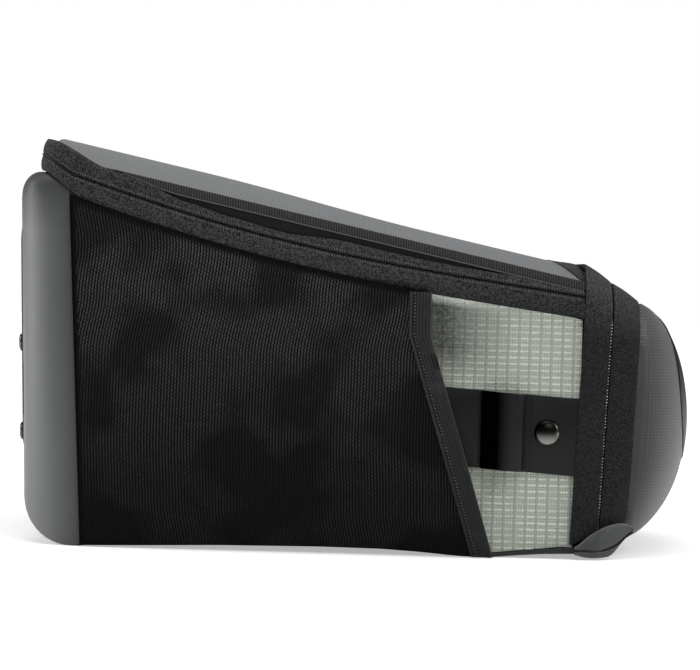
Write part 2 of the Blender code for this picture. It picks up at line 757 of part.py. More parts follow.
def make_lid(shell_finish, trim_finish, tape, coil, lining, carrier):
    """The stiff crowned lid, its edge trim and lining, and the upper half of its zip."""

    def crowned(inset, x_front, drop, thick):
        """A crowned sheet over the rim's plan, with its top this far below the lid's outside."""
        half, rear = HALF_WIDTH - inset, RIM_REAR + inset
        corner = RIM_CORNER - inset
        rows = [x_front + (rear + corner - x_front) * i / 8 for i in range(9)]
        rows = [(x, half) for x in rows]
        for i in range(1, 7):
            angle = math.radians(90 * i / 6)
            rows.append((rear + corner - corner * math.sin(angle), half - corner + corner * math.cos(angle)))
        bm = bmesh.new()
        bmesh.ops.create_grid(bm, x_segments=len(rows) - 1, y_segments=16, size=1.0)
        for vert in bm.verts:
            row = round((vert.co.x + 1) / 2 * (len(rows) - 1))
            x, width = rows[row]
            y = vert.co.y * width
            z = trim_height(x) + TRIM_HEIGHT + crown(x, y) - drop
            vert.co = Vector((x, y, z))
        made = bmesh.ops.extrude_face_region(bm, geom=list(bm.faces))["geom"]
        under = [part for part in made if isinstance(part, bmesh.types.BMVert)]
        bmesh.ops.translate(bm, vec=(0, 0, -thick), verts=under)
        return bm

    place("lid_shell", crowned(LID_INSET, LID_FRONT, 0.0, TRIM_HEIGHT), shell_finish, carrier, 40)
    inside = crowned(LID_INSET + LINING_INSET, LID_FRONT - 7.0, TRIM_HEIGHT + GAP, LID_LINING)
    place("lid_lining", inside, lining, carrier, 40)

    trim_thick = LID_INSET - GAP + TAPE
    for side, word in ((-1, "right"), (1, "left")):
        sections = []
        for i in range(9):
            x = LID_FRONT + (EAR_START - LID_FRONT) * i / 8
            inner, outer = side * (HALF_WIDTH + TAPE - trim_thick), side * (HALF_WIDTH + TAPE)
            low, high = trim_height(x), trim_height(x) + TRIM_HEIGHT
            sections.append([(x, inner, low), (x, outer, low), (x, outer, high), (x, inner, high)])
        place(f"lid_edge_trim_{word}", swept(sections), trim_finish, carrier)

    def zip_upper(x, y):
        return zip_height(x, y) + ZIP_SLIT / 2

    def ear(x):
        return max(0.0, EAR_START - x) / (EAR_START - RIM_REAR)

    def tape_top(x, _):
        return trim_height(x) - GAP + EAR_RISE * ear(x) ** 1.5

    def leaning_in(x):
        return -1.6 * rise(x)

    upper = ribbon(zip_upper, tape_top, lambda x: 0.0, leaning_in, TAPE)
    place("lid_zip_tape_upper", upper, tape, carrier)

    def coil_top(x, y):
        return zip_height(x, y) + ZIP_SLIT / 2 + COIL_HEIGHT

    row = ribbon(zip_upper, coil_top, coil_inset, coil_inset, COIL_THICK)
    place("lid_zip_coil_upper", row, coil, carrier)


def coil_inset(_):
    """How far the inner side of the lid's coil lies inside the rim."""
    return -LID_INSET + GAP


def make_lower_lid_zip(tape, coil):
    """The half of the lid's zip that is sewn to the side panels and the rear shell."""

    def zip_lower(x, y):
        return zip_height(x, y) - ZIP_SLIT / 2

    def coil_low(x, y):
        return zip_lower(x, y) - COIL_HEIGHT

    lower = ribbon(seam_height, zip_lower, lambda x: GAP, lambda x: 0.0, TAPE)
    place("lid_zip_tape_lower", lower, tape)
    place("lid_zip_coil_lower", ribbon(coil_low, zip_lower, coil_inset, coil_inset, COIL_THICK), coil)


def make_hinge_tape(finish):
    """The fabric hinge under the front frame's top, which joins the lid to the frame."""
    fall = (FRAME_TOP[0] - FRAME_TOP[1]) / (FRAME_X[1] - FRAME_X[0])
    x_low, x_high = FRAME_X[0] + 0.2, FRAME_X[0] + 6.5
    top = FRAME_TOP[0] - FRAME_THICK - 0.5
    outline = [
        (x_low, top),
        (x_high, top - fall * (x_high - x_low)),
        (x_high, top - 1.0 - fall * (x_high - x_low)),
        (x_low, top - 1.0),
    ]
    place("lid_hinge_tape", prism(outline, 1, -66.0, 66.0), finish)


def mouth_x(z):
    """The front edge of a side pocket's mouth."""
    return MOUTH_X + MOUTH_LEAN * max(0.0, MOUTH_BEND_Z - z)


def pocket_top(x, side):
    """A side pocket ends just under the zip band's seam."""
    return side_seam(x, side) - 1.0


def pocket_bottom(x):
    """A side pocket ends just above the base's underside."""
    return POCKET_BOTTOM + along_table(BASE_UNDER, x)


def pocket_offset(x, z, side):
    """How far a side pocket's sheet stands off the side panel."""
    below_top = pocket_top(x, side) - z
    edges = (
        smooth_step(below_top / 60.0),
        smooth_step((z - POCKET_BOTTOM) / 30.0),
        smooth_step((x - skirt_x(z)) / 30.0),
    )
    return 0.5 + POCKET_BULGE * edges[0] * edges[1] * edges[2]


def mouth_offset(z, side):
    """At its mouth the sheet stands off enough to leave room for its binding."""
    return 1.7 + pocket_offset(mouth_x(z) - 4, z, side)


def make_side_pockets(mesh_finish, binding_finish):
    """Stretch-mesh pockets sewn along three sides, and the elastic binding of their mouths."""
    columns, rows = 12, 10
    for side, word in ((-1, "right"), (1, "left")):
        bm = bmesh.new()
        bmesh.ops.create_grid(bm, x_segments=columns, y_segments=rows, size=0.5)
        for vert in bm.verts:
            across, up = vert.co.x + 0.5, vert.co.y + 0.5
            z = POCKET_BOTTOM + 105.0 * up
            rear, front = skirt_x(z) + 1.0, mouth_x(z) - 1.5
            x = rear + (front - rear) * across
            z = pocket_bottom(x) + (pocket_top(x, side) - pocket_bottom(x)) * up
            off = pocket_offset(x, z, side) + 1.7 * smooth_step((across - 0.75) / 0.2)
            vert.co = Vector((x, side * (HALF_WIDTH + off), z))
        made = bmesh.ops.extrude_face_region(bm, geom=list(bm.faces))["geom"]
        outside = [part for part in made if isinstance(part, bmesh.types.BMVert)]
        bmesh.ops.translate(bm, vec=(0, side * POCKET_SHEET, 0), verts=outside)
        place(f"mesh_pocket_{word}", bm, mesh_finish, None, 50)

        sections = []
        top = pocket_top(MOUTH_X, side)
        for i in range(13):
            z = POCKET_BOTTOM + (top - POCKET_BOTTOM) * i / 12
            inner = HALF_WIDTH + mouth_offset(z, side)
            outer = inner + POCKET_SHEET
            front, rear = mouth_x(z), mouth_x(z) - BINDING_WIDTH
            profile = (
                (rear, outer + 1.15),
                (front, outer + 1.15),
                (front, inner - 1.15),
                (rear + 3, inner - 1.15),
                (rear + 3, inner - 0.6),
                (front - 0.9, inner - 0.6),
                (front - 0.9, outer + 0.6),
                (rear, outer + 0.6),
            )
            sections.append([(x, side * y, z) for x, y in profile])
        place(f"pocket_binding_{word}", swept(sections), binding_finish)


def strap_centre(x):
    return STRAP_Z - STRAP_SLOPE * (x - 40.0)


def make_side_straps(finish, metal):
    """The coated straps with a raised loop for a hook or a light, and the rivets that hold them."""
    for side, word in ((-1, "right"), (1, "left")):
        bow = [(LOOP_X[0] - 0.01, 0.0)]
        for i in range(13):
            angle = math.pi * i / 12
            middle, half = (LOOP_X[0] + LOOP_X[1]) / 2, (LOOP_X[1] - LOOP_X[0]) / 2
            bow.append((middle - half * math.cos(angle), LOOP_RISE * math.sin(angle) ** 0.6))
        line = [(STRAP_START, 0.0), *bow, (RIVET[0], 0.0), (None, 0.0)]
        sections = []
        for x, up in line:
            near = side * (HALF_WIDTH + GAP + up)
            far = side * (HALF_WIDTH + GAP + up + STRAP_THICK)
            centre = strap_centre(x or BODY_FRONT)
            low, high = centre - STRAP_WIDTH / 2, centre + STRAP_WIDTH / 2
            x_low = x or FRAME_X[0] + frame_shift(low) - GAP
            x_high = x or FRAME_X[0] + frame_shift(high) - GAP
            sections.append([(x_low, near, low), (x_low, far, low), (x_high, far, high), (x_high, near, high)])
        strap = place(f"side_strap_{word}", swept(sections), finish, None, 50)
        centre = (RIVET[0], side * HALF_WIDTH, RIVET[1])
        hole = round_bar(centre, (0, 1, 0), RIVET_POST + GAP, 20)
        combine(strap, place(f"strap_rivet_hole_{word}", hole, None))
        make_rivet(side, word, metal)


def make_rivet(side, word, finish):
    """A domed cap with its post, and the washer inside that the post is set into."""
    seat = HALF_WIDTH + GAP + STRAP_THICK + GAP
    bm = bmesh.new()
    bmesh.ops.create_uvsphere(bm, u_segments=24, v_segments=12, radius=RIVET_RADIUS)
    bmesh.ops.bisect_plane(
        bm, geom=[*bm.verts, *bm.edges, *bm.faces], plane_co=(0, 0, 0), plane_no=(0, 0, -1), clear_outer=True
    )
    rim = [edge for edge in bm.edges if edge.is_boundary]
    bmesh.ops.edgeloop_fill(bm, edges=rim)
    bmesh.ops.scale(bm, vec=(1, 1, 0.52), verts=bm.verts)
    turn = Matrix.Rotation(math.radians(-90 * side), 4, "X")
    centre = Matrix.Translation((RIVET[0], side * seat, RIVET[1]))
    bmesh.ops.transform(bm, matrix=centre @ turn, verts=bm.verts)
    cap = place(f"rivet_cap_{word}", bm, finish)
    inner_end = HALF_WIDTH - PANEL - GAP - 1.4
    middle, length = (seat + 0.5 + inner_end) / 2, seat + 0.5 - inner_end
    post = round_bar((RIVET[0], side * middle, RIVET[1]), (0, 1, 0), RIVET_POST, length, 12)
    combine(cap, place(f"rivet_post_{word}", post, None), "UNION")
    place_y = side * (HALF_WIDTH - PANEL - GAP - 0.6)
    washer = round_bar((RIVET[0], place_y, RIVET[1]), (0, 1, 0), 4.5, 1.2, 20)
    back = place(f"rivet_washer_{word}", washer, finish)
    hole = round_bar((RIVET[0], place_y, RIVET[1]), (0, 1, 0), RIVET_POST + GAP, 8, 12)
    combine(back, place(f"washer_hole_{word}", hole, None))


def make_slider(name, seat, slope, tilt, lift, wing, post, finish, pull_finish):
    """A zip slider and its pull: x runs along the pull's bar, y outwards and z up, turned by slope and tilt.

    lift is the plate's distance from the tape, wing its (width, height), and post the same for the fin that
    runs in the zip's slit."""
    along_zip = Matrix.Translation(seat) @ Matrix.Rotation(slope, 4, "Y")
    turn = along_zip @ Matrix.Rotation(-tilt, 4, "Z") @ Matrix.Translation((0, lift, 0))
    carrier = pivot(f"{name}_slide", seat)
    half_w, half_h = wing[0] / 2, wing[1] / 2
    outline = [
        (half_w, -half_h * 0.55),
        (half_w, half_h * 0.55),
        (half_w * 0.55, half_h),
        (-half_w * 0.55, half_h),
        (-half_w, half_h * 0.55),
        (-half_w, -half_h * 0.55),
        (-half_w * 0.55, -half_h),
        (half_w * 0.55, -half_h),
    ]
    plate = prism(outline, 1, 0.0, SLIDER_PLATE)
    bmesh.ops.transform(plate, matrix=turn, verts=plate.verts)
    slider = place(name, plate, finish, carrier)
    fin = block((-post[0] / 2, -1.5, -post[1] / 2), (post[0] / 2, lift + 0.5, post[1] / 2))
    bmesh.ops.transform(fin, matrix=along_zip, verts=fin.verts)
    combine(slider, place(f"{name}_fin", fin, None, carrier), "UNION")
    axis_height = SLIDER_PLATE + BAR_HEIGHT
    reach = half_w - 0.7
    inside, outside = reach - 1.2, axis_height + BAR / 2
    arch_profile = [
        (-reach, SLIDER_PLATE - 0.5),
        (-reach, outside - 0.4),
        (-reach + 0.4, outside),
        (reach - 0.4, outside),
        (reach, outside - 0.4),
        (reach, SLIDER_PLATE - 0.5),
        (inside, SLIDER_PLATE - 0.5),
        (inside, axis_height - BAR / 2),
        (-inside, axis_height - BAR / 2),
        (-inside, SLIDER_PLATE - 0.5),
    ]
    arch = prism(arch_profile, 2, -BAR / 2, BAR / 2)
    bmesh.ops.transform(arch, matrix=turn, verts=arch.verts)
    combine(slider, place(f"{name}_arch", arch, None, carrier), "UNION")

    axis_point = turn @ Vector((0, axis_height, 0))
    swing = pivot(f"{name}_pull_swing", axis_point)
    tab_outline = [(-PULL_WIDTH / 2, -4.5), (-1.4, -1.2), (1.4, -1.2), (PULL_WIDTH / 2, -4.5)]
    tab_outline += [(a, b) for a, b in arc((0, -PULL_LENGTH), PULL_WIDTH / 2, 0, -180, 8)]
    tab = prism(tab_outline, 1, axis_height - PULL_THICK / 2, axis_height + PULL_THICK / 2)
    bmesh.ops.transform(tab, matrix=turn, verts=tab.verts)
    pull = place(f"{name}_pull", tab, pull_finish, swing)
    ring = round_bar((0, axis_height, 0), (1, 0, 0), 1.75, 2.8, 16)
    bmesh.ops.transform(ring, matrix=turn, verts=ring.verts)
    combine(pull, place(f"{name}_pull_ring", ring, None, swing), "UNION")
    bore = round_bar((0, axis_height, 0), (1, 0, 0), 0.95, 6.0, 16)
    bmesh.ops.transform(bore, matrix=turn, verts=bore.verts)
    combine(pull, place(f"{name}_pull_bore", bore, None, swing))


def make_sliders(finish, pull_finish):
    """Two sliders that meet on the lid's zip, and one parked at the low end of the pocket's zip."""
    slope = math.atan(SLOPE)
    for x, word in zip(LID_SLIDER_X, ("rear", "front")):
        seat = (x, HALF_WIDTH + TAPE, zip_height(x, 1))
        name = f"lid_slider_{word}"
        make_slider(
            name, seat, slope, 0.0, LID_SLIDER_LIFT, (12.0, 8.5), (7.0, 0.6), finish, pull_finish
        )
    taper = (FRAME_HALF_WIDTH[0] - FRAME_HALF_WIDTH[1]) / (FRAME_X[1] - FRAME_X[0])
    tilt = math.atan(taper)
    surface = FRAME_HALF_WIDTH[0] - taper * (FRAME_ZIP_X - FRAME_X[0])
    seat = (FRAME_ZIP_X + frame_shift(FRONT_SLIDER_Z), surface, FRONT_SLIDER_Z)
    slope = math.atan(FRAME_LEAN)
    make_slider(
        "front_slider", seat, slope, tilt, FRONT_SLIDER_LIFT, (7.5, 12.0), (0.2, 7.0), finish, pull_finish
    )


def main():
    clear_scene()
    shell = material("grey_coated_foam", (0.13, 0.135, 0.135), 0.55)
    dome = material("dark_grey_laminate", (0.075, 0.078, 0.083), 0.5)
    lid = material("lid_fabric", (0.14, 0.15, 0.155), 0.7)
    base = material("black_foam", (0.02, 0.02, 0.021), 0.8)
    ripstop = material("silver_ripstop", (0.36, 0.39, 0.34), 0.5)
    mesh = material("black_stretch_mesh", (0.008, 0.008, 0.009), 0.9)
    tape = material("black_zip_tape", (0.018, 0.018, 0.019), 0.85)
    trim = material("black_ribbed_tape", (0.025, 0.026, 0.027), 0.8)
    coil = material("black_nylon_coil", (0.012, 0.012, 0.012), 0.4)
    leather = material("black_coated_strap", (0.016, 0.017, 0.017), 0.42)
    film = material("black_film", (0.008, 0.008, 0.008), 0.3)
    rubber = material("grey_rubber", (0.06, 0.065, 0.066), 0.5)
    metal = material("dark_nickel", (0.42, 0.41, 0.38), 0.25, 1.0)
    nylon = material("black_nylon", (0.02, 0.02, 0.02), 0.5)
    board = material("stiff_board", (0.05, 0.05, 0.05), 0.6)

    lid_pivot = pivot("lid_pivot", (HINGE[0], 0.0, HINGE[1]))
    pocket_pivot = pivot("pocket_pivot", (POCKET_HINGE[0], 0.0, POCKET_HINGE[1]))
    bpy.context.view_layer.update()

    make_rear_shell(shell)
    make_mounting_plate(nylon, metal, board)
    make_side_panels(ripstop)
    make_bottom(base, board)
    make_front_wall(base)
    make_lower_lid_zip(tape, coil)
    make_hinge_tape(tape)
    make_pocket_hinge(tape)
    make_lid(lid, trim, tape, coil, base, lid_pivot)
    make_front_frame(tape, coil, pocket_pivot)
    make_dome(dome, film, pocket_pivot)
    make_zip_end_guards(rubber, pocket_pivot)
    make_side_pockets(mesh, trim)
    make_side_straps(leather, metal)
    make_sliders(metal, rubber)


main()
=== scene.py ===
import math

import bmesh
import bpy
from mathutils import Matrix, Vector
from mathutils.bvhtree import BVHTree


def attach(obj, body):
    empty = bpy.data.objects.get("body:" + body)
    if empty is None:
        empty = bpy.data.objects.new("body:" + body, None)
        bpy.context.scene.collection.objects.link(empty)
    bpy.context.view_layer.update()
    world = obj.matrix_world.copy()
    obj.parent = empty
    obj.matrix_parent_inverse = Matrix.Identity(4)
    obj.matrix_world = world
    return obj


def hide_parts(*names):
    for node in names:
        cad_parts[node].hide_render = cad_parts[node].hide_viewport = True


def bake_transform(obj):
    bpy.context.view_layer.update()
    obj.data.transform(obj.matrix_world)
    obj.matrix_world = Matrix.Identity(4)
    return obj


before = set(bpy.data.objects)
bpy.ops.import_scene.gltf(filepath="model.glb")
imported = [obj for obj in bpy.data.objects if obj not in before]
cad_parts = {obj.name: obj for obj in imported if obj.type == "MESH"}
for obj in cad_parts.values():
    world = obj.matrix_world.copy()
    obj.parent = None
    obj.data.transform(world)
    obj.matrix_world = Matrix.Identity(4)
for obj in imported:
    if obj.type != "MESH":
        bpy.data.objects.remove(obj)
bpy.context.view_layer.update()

# The viewpoint: a long lens, square to the bag's right-hand side and level with its middle, looking down by
# a degree and rolled a little, which is how the bag was photographed.
CAMERA_PLACE = (-0.00436, -1.3, 0.1075)
CAMERA_LENS = 162.3
LOOK_DOWN = math.radians(1.1)
ROLL = math.radians(1.6)

lens = bpy.data.cameras.new("viewpoint")
lens.lens = CAMERA_LENS
lens.sensor_width = 36.0
lens.clip_start = 0.05
camera = bpy.data.objects.new("viewpoint", lens)
camera.matrix_world = (
    Matrix.Translation(CAMERA_PLACE) @ Matrix.Rotation(math.pi / 2 - LOOK_DOWN, 4, "X")
    @ Matrix.Rotation(ROLL, 4, "Z")
)
bpy.context.scene.collection.objects.link(camera)
bpy.context.scene.camera = camera
bpy.context.scene.view_settings.view_transform = "Standard"


def add(kind, inputs=None, **settings):
    """A node in the shader tree being made, with its inputs linked from sockets or set to values."""
    made = tree.nodes.new("ShaderNode" + kind)
    for key, value in settings.items():
        setattr(made, key, value)
    for key, value in (inputs or {}).items():
        if isinstance(value, bpy.types.NodeSocket):
            tree.links.new(value, made.inputs[key])
        else:
            made.inputs[key].default_value = value
    return made


# Studio: a pale sweep for a floor, white away from the bag, and four soft lamps. The large one overhead
# gives the lid its sheen, one behind draws the rear shell's rim, and the others model the flank and the
# domed front.
FLOOR_HALF = 6.0
FLOOR_COLOUR = (0.86, 0.86, 0.86, 1.0)
FLOOR_GLOW = (0.42, 1.0)  # seen by the camera: at the bag, and far from it
FLOOR_FADE = (0.2, 0.75)
WORLD_LIGHT = (0.26, 0.1)  # on cloth, and in metal
LAMPS_AIM = Vector((0, 0, 0.07))

floor_mesh = bpy.data.meshes.new("floor")
floor_shape = bmesh.new()
bmesh.ops.create_grid(floor_shape, x_segments=1, y_segments=1, size=FLOOR_HALF)
floor_shape.to_mesh(floor_mesh)
floor_shape.free()
floor = bpy.data.objects.new("floor", floor_mesh)
bpy.context.scene.collection.objects.link(floor)

floor_finish = bpy.data.materials.new("pale_sweep")
floor_finish.use_nodes = True
tree = floor_finish.node_tree
tree.nodes["Principled BSDF"].inputs["Base Color"].default_value = FLOOR_COLOUR
tree.nodes["Principled BSDF"].inputs["Roughness"].default_value = 0.9
path = add("LightPath").outputs
seen = add("Math", {0: path["Is Camera Ray"], 1: path["Is Glossy Ray"]}, operation="MAXIMUM").outputs[0]
place = add("TexCoord").outputs["Object"]
away = add("VectorMath", {0: place}, operation="LENGTH").outputs["Value"]
fade = {0: away, 1: FLOOR_FADE[0], 2: FLOOR_FADE[1], 3: FLOOR_GLOW[0], 4: FLOOR_GLOW[1]}
white = add("MapRange", fade, interpolation_type="SMOOTHSTEP").outputs[0]
glow = add("Math", {0: seen, 1: white}, operation="MULTIPLY").outputs[0]
lit = add("Emission", {"Strength": glow}).outputs[0]
both = add("AddShader", {0: tree.nodes["Principled BSDF"].outputs[0], 1: lit}).outputs[0]
tree.links.new(both, tree.nodes["Material Output"].inputs["Surface"])
floor_mesh.materials.append(floor_finish)

world = bpy.data.worlds.new("studio")
world.use_nodes = True
bpy.context.scene.world = world
tree = world.node_tree
path = add("LightPath").outputs
dim = add("MapRange", {0: path["Is Glossy Ray"], 3: WORLD_LIGHT[0], 4: WORLD_LIGHT[1]}).outputs[0]
level = add("MapRange", {0: path["Is Camera Ray"], 3: dim, 4: 1.0}).outputs[0]
tree.links.new(level, tree.nodes["Background"].inputs["Strength"])
tree.nodes["Background"].inputs["Color"].default_value = (1, 1, 1, 1)

LAMPS = (
    # name, place, width, height, power
    ("top_lamp", (-0.05, -0.05, 0.95), 1.0, 0.8, 6.2),
    ("flank_lamp", (0.3, -1.15, 0.8), 0.7, 0.6, 3.0),
    ("rear_lamp", (-0.9, 0.1, 0.3), 0.4, 0.7, 3.2),
    ("front_lamp", (0.85, -0.25, 0.7), 0.5, 0.6, 3.9),
)
for name, place, width, height, power in LAMPS:
    lamp = bpy.data.lights.new(name, "AREA")
    lamp.shape = "RECTANGLE"
    lamp.size, lamp.size_y = width, height
    lamp.energy = power
    holder = bpy.data.objects.new(name, lamp)
    holder.location = place
    holder.rotation_mode = "QUATERNION"
    holder.rotation_quaternion = (LAMPS_AIM - Vector(place)).to_track_quat("-Z", "Y")
    bpy.context.scene.collection.objects.link(holder)


# Rear shell: one cap of compression-moulded foam under a satin grey film, with a thick pad behind the plate.
# Its mouth is sewn to the side panels and the base, and grooves in its rear face take the straps.
MM = 0.001
MERGED = 0.002  # points this near each other become one
SIDES = ((-1, "right"), (1, "left"))
DRAWN_CENTRE = 4.36  # the pieces are drawn in millimetres, with the bag's middle at this x
GAP = 0.3
HALF_WIDTH = 85.0
REAR_X = -125.2
REAR_LEAN = 0.033
SKIRT_X = -102.0
SKIRT_LEAN = 0.055
REAR_TOP = 144.0
SHELL_WALL = 4.0
REAR_CORNER = 20.0
SHOULDER = 10.0
PAD_X = -116.4
PAD_HALF_WIDTH = 66.0
PAD_Z = (32.0, 127.0)
PLATE_HALF_WIDTH = 56.0
PLATE_Z = (35.0, 123.5)
PLATE_CORNER = 8.0
PLATE_FACE = -126.7
PLATE_THICK = 2.5
GROOVE_X = -118.6
TUNNEL_HALF_WIDTH = 69.0
TUNNEL_Z = (49.5, 70.0)
BAR_STRAP_Y = 34.0
SLOT_WIDTH = 27.0
SLOT_HEIGHT = 6.0
SLOT_CORNER = 2.5
SLOT_Z = (84.0, 112.0)
SCREW_PLACES = [(side * 50.0, z) for z in (42.0, 77.0) for side in (-1, 1)]
SCREW_HOLE = 2.1
BEHIND = -140.0
OPEN_X = -110.0  # the shell is open above from here
OPEN_HALF_WIDTH = 62.0
PAST = 30.0


def settle(name, shape, finish, body, node=None, crease=40.0, slot=None, flat_over=math.inf):
    """A piece from a shape in millimetres. It rides on a body, unless that is None, and stands for a node.

    The slot argument is not used. Faces over an area in mm2 are shaded flat."""
    nodes = [node] if node else []
    slot = slot or finish.name.split(".")[0]
    bmesh.ops.remove_doubles(shape, verts=shape.verts, dist=MERGED)
    bmesh.ops.recalc_face_normals(shape, faces=shape.faces)
    bmesh.ops.translate(shape, vec=(-DRAWN_CENTRE, 0, 0), verts=shape.verts)
    bmesh.ops.scale(shape, vec=(MM, MM, MM), verts=shape.verts)
    mesh = bpy.data.meshes.new(name)
    shape.to_mesh(mesh)
    shape.free()
    mesh.shade_smooth()
    mesh.set_sharp_from_angle(angle=math.radians(crease))
    for face in mesh.polygons:
        face.use_smooth = face.area < flat_over * MM**2
    mesh.materials.append(finish)
    piece = bpy.data.objects.new(name, mesh)
    bpy.context.scene.collection.objects.link(piece)
    if body:
        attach(piece, body)
    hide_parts(*nodes)
    return piece


def worked(shape, steps=(), tools=()):
    """The shape after modifiers, given as (kind, settings), and after tools, given as (operation, shape)."""
    helpers = []
    for part in (shape, *[tool for _, tool in tools]):
        mesh = bpy.data.meshes.new("work")
        part.to_mesh(mesh)
        part.free()
        helpers.append(bpy.data.objects.new("work", mesh))
        bpy.context.scene.collection.objects.link(helpers[-1])
    steps = [
        *steps,
        *[("BOOLEAN", {"operation": kind, "object": tool}) for (kind, _), tool in zip(tools, helpers[1:])]
    ]
    for kind, settings in steps:
        step = helpers[0].modifiers.new(kind, kind)
        for key, value in settings.items():
            setattr(step, key, value)
    bpy.context.view_layer.update()
    graph = bpy.context.evaluated_depsgraph_get()
    done = bmesh.new()
    done.from_mesh(helpers[0].evaluated_get(graph).to_mesh())
    for helper in helpers:
        mesh = helper.data
        bpy.data.objects.remove(helper)
        bpy.data.meshes.remove(mesh)
    return done


def less(*shapes):
    """Tools that cut shapes away."""
    return [("DIFFERENCE", shape) for shape in shapes]


def screw_holes():
    return less(*[rod((REAR_X, y, z), (1, 0, 0), SCREW_HOLE, 60) for y, z in SCREW_PLACES])


def box(low, high):
    shape = bmesh.new()
    size, middle = Vector(high) - Vector(low), (Vector(high) + Vector(low)) / 2
    bmesh.ops.create_cube(shape, size=1.0, matrix=Matrix.Translation(middle) @ Matrix.Diagonal((*size, 1.0)))
    return shape


def rounded_box(low, high, radius, axis, steps=6):
    """A box whose four edges along one axis are rounded."""
    shape = box(low, high)
    ways = [edge for edge in shape.edges if abs((edge.verts[0].co - edge.verts[1].co)[axis]) > 0.01]
    bmesh.ops.bevel(shape, geom=ways, offset=radius, segments=steps, profile=0.5, affect="EDGES", material=-1)
    return shape


def rod(centre, axis, radius, length, sides=24):
    """A cylinder centred on a point."""
    shape = bmesh.new()
    turn = Vector((0, 0, 1)).rotation_difference(Vector(axis)).to_matrix().to_4x4()
    bmesh.ops.create_cone(
        shape, cap_ends=True, segments=sides, radius1=radius, radius2=radius, depth=length,
        matrix=Matrix.Translation(centre) @ turn
    )
    return shape


def soften(shape, width, steps=2, angle=40.0):
    """Rounds every edge that is sharper than the angle."""
    least = math.radians(angle)
    sharp = [edge for edge in shape.edges if edge.is_manifold and edge.calc_face_angle(0.0) > least]
    bmesh.ops.bevel(
        shape, geom=sharp, offset=width, segments=steps, profile=0.5, affect="EDGES", material=-1,
        clamp_overlap=True
    )
    return shape


def mix(first, last, share):
    """The value a share of the way from one to another."""
    return first + (last - first) * share


def lean(shape):
    """Leans a shape back as the shell leans: its rear face a little, its mouth a little more."""
    for vert in shape.verts:
        share = max(0.0, (vert.co.x - REAR_X) / (SKIRT_X - REAR_X))
        vert.co.x -= vert.co.z * mix(REAR_LEAN, SKIRT_LEAN, share)
    return shape


def cap(inset, z_low, z_high, front, width):
    """The cap's box, with its rear edges and shoulders rounded by weighted bevels."""
    shape = box((REAR_X + inset, inset - HALF_WIDTH, z_low), (front, HALF_WIDTH - inset, z_high))
    weight = shape.edges.layers.float.new("bevel_weight_edge")
    for edge in shape.edges:
        at_rear = all(v.co.x < REAR_X + inset + 1 for v in edge.verts)
        at_top = all(v.co.z > (z_low + z_high) / 2 for v in edge.verts)
        at_side = edge.verts[0].co.y * edge.verts[1].co.y > 0
        if at_rear or (at_top and at_side):
            edge[weight] = ((SHOULDER if at_top else REAR_CORNER) - inset) / (REAR_CORNER - inset)
    return worked(shape, [("BEVEL", {"limit_method": "WEIGHT", "width": width, "segments": 12})])


def plain_finish(name, colour, roughness, metallic=0.0, sheen=0.0, specular=0.5):
    """Starts a material with its shader's own sockets set. Its texture is added to it before the next one."""
    global tree, shader, where
    made = bpy.data.materials.new(name)
    made.use_nodes = True
    tree = made.node_tree
    shader = tree.nodes["Principled BSDF"]
    settings = {"Base Color": (*colour, 1.0), "Roughness": roughness, "Metallic": metallic}
    settings |= {"Sheen Weight": sheen, "Specular IOR Level": specular}
    for key, value in settings.items():
        shader.inputs[key].default_value = value
    place = add("TexCoord").outputs["Object"]
    where = add("VectorMath", {0: place, "Scale": 1 / MM}, operation="SCALE").outputs[0]  # in millimetres
    return made


def along_weave():
    """The piece's own place along its cloth, in millimetres."""
    return add("Attribute", attribute_name="weave").outputs["Vector"]


def axes(vector):
    """A vector's three parts."""
    return add("SeparateXYZ", {0: vector}).outputs


def cloud(where, size, detail=2.0, roughness=0.5):
    """Soft noise with lumps of about this size in millimetres."""
    return add(
        "TexNoise", {"Vector": where, "Scale": 1.0 / size, "Detail": detail, "Roughness": roughness}
    ).outputs[0]


def bands(where, period, direction="X", wobble=0.0, phase=0.0):
    """Ribs from 0 to 1 across one direction, a period in millimetres apart."""
    return add(
        "TexWave",
        {
            "Vector": where, "Scale": math.pi / 10 / period, "Distortion": wobble, "Detail": 1.0,
            "Detail Scale": 1.0, "Phase Offset": phase
        },
        bands_direction=direction
    ).outputs["Fac"]


def reckon(operation, first, second=0.0, third=0.0):
    return add("Math", {0: first, 1: second, 2: third}, operation=operation).outputs[0]


def times(first, second):
    return reckon("MULTIPLY", first, second)


def plus(first, second):
    return reckon("ADD", first, second)


def minus(first, second):
    return reckon("SUBTRACT", first, second)


def ranged(value, low, high, to_low=0.0, to_high=1.0):
    """A value's range, moved and clamped to another."""
    return add("MapRange", {0: value, 1: low, 2: high, 3: to_low, 4: to_high}).outputs[0]


def tint(share, under, over):
    """One colour laid over another by a share. The one below may be another texture's colour."""
    if isinstance(under, tuple):
        under = (*under, 1.0)
    return add("Mix", {0: share, 6: under, 7: (*over, 1.0)}, data_type="RGBA").outputs[2]


def paint(colour, roughness, height, depth, strength):
    """Links a texture's colour, roughness and height, with the height's depth in millimetres."""
    bump = add("Bump", {"Height": height, "Distance": depth * MM, "Strength": strength})
    for name, socket in (("Base Color", colour), ("Roughness", roughness), ("Normal", bump.outputs[0])):
        tree.links.new(socket, shader.inputs[name])


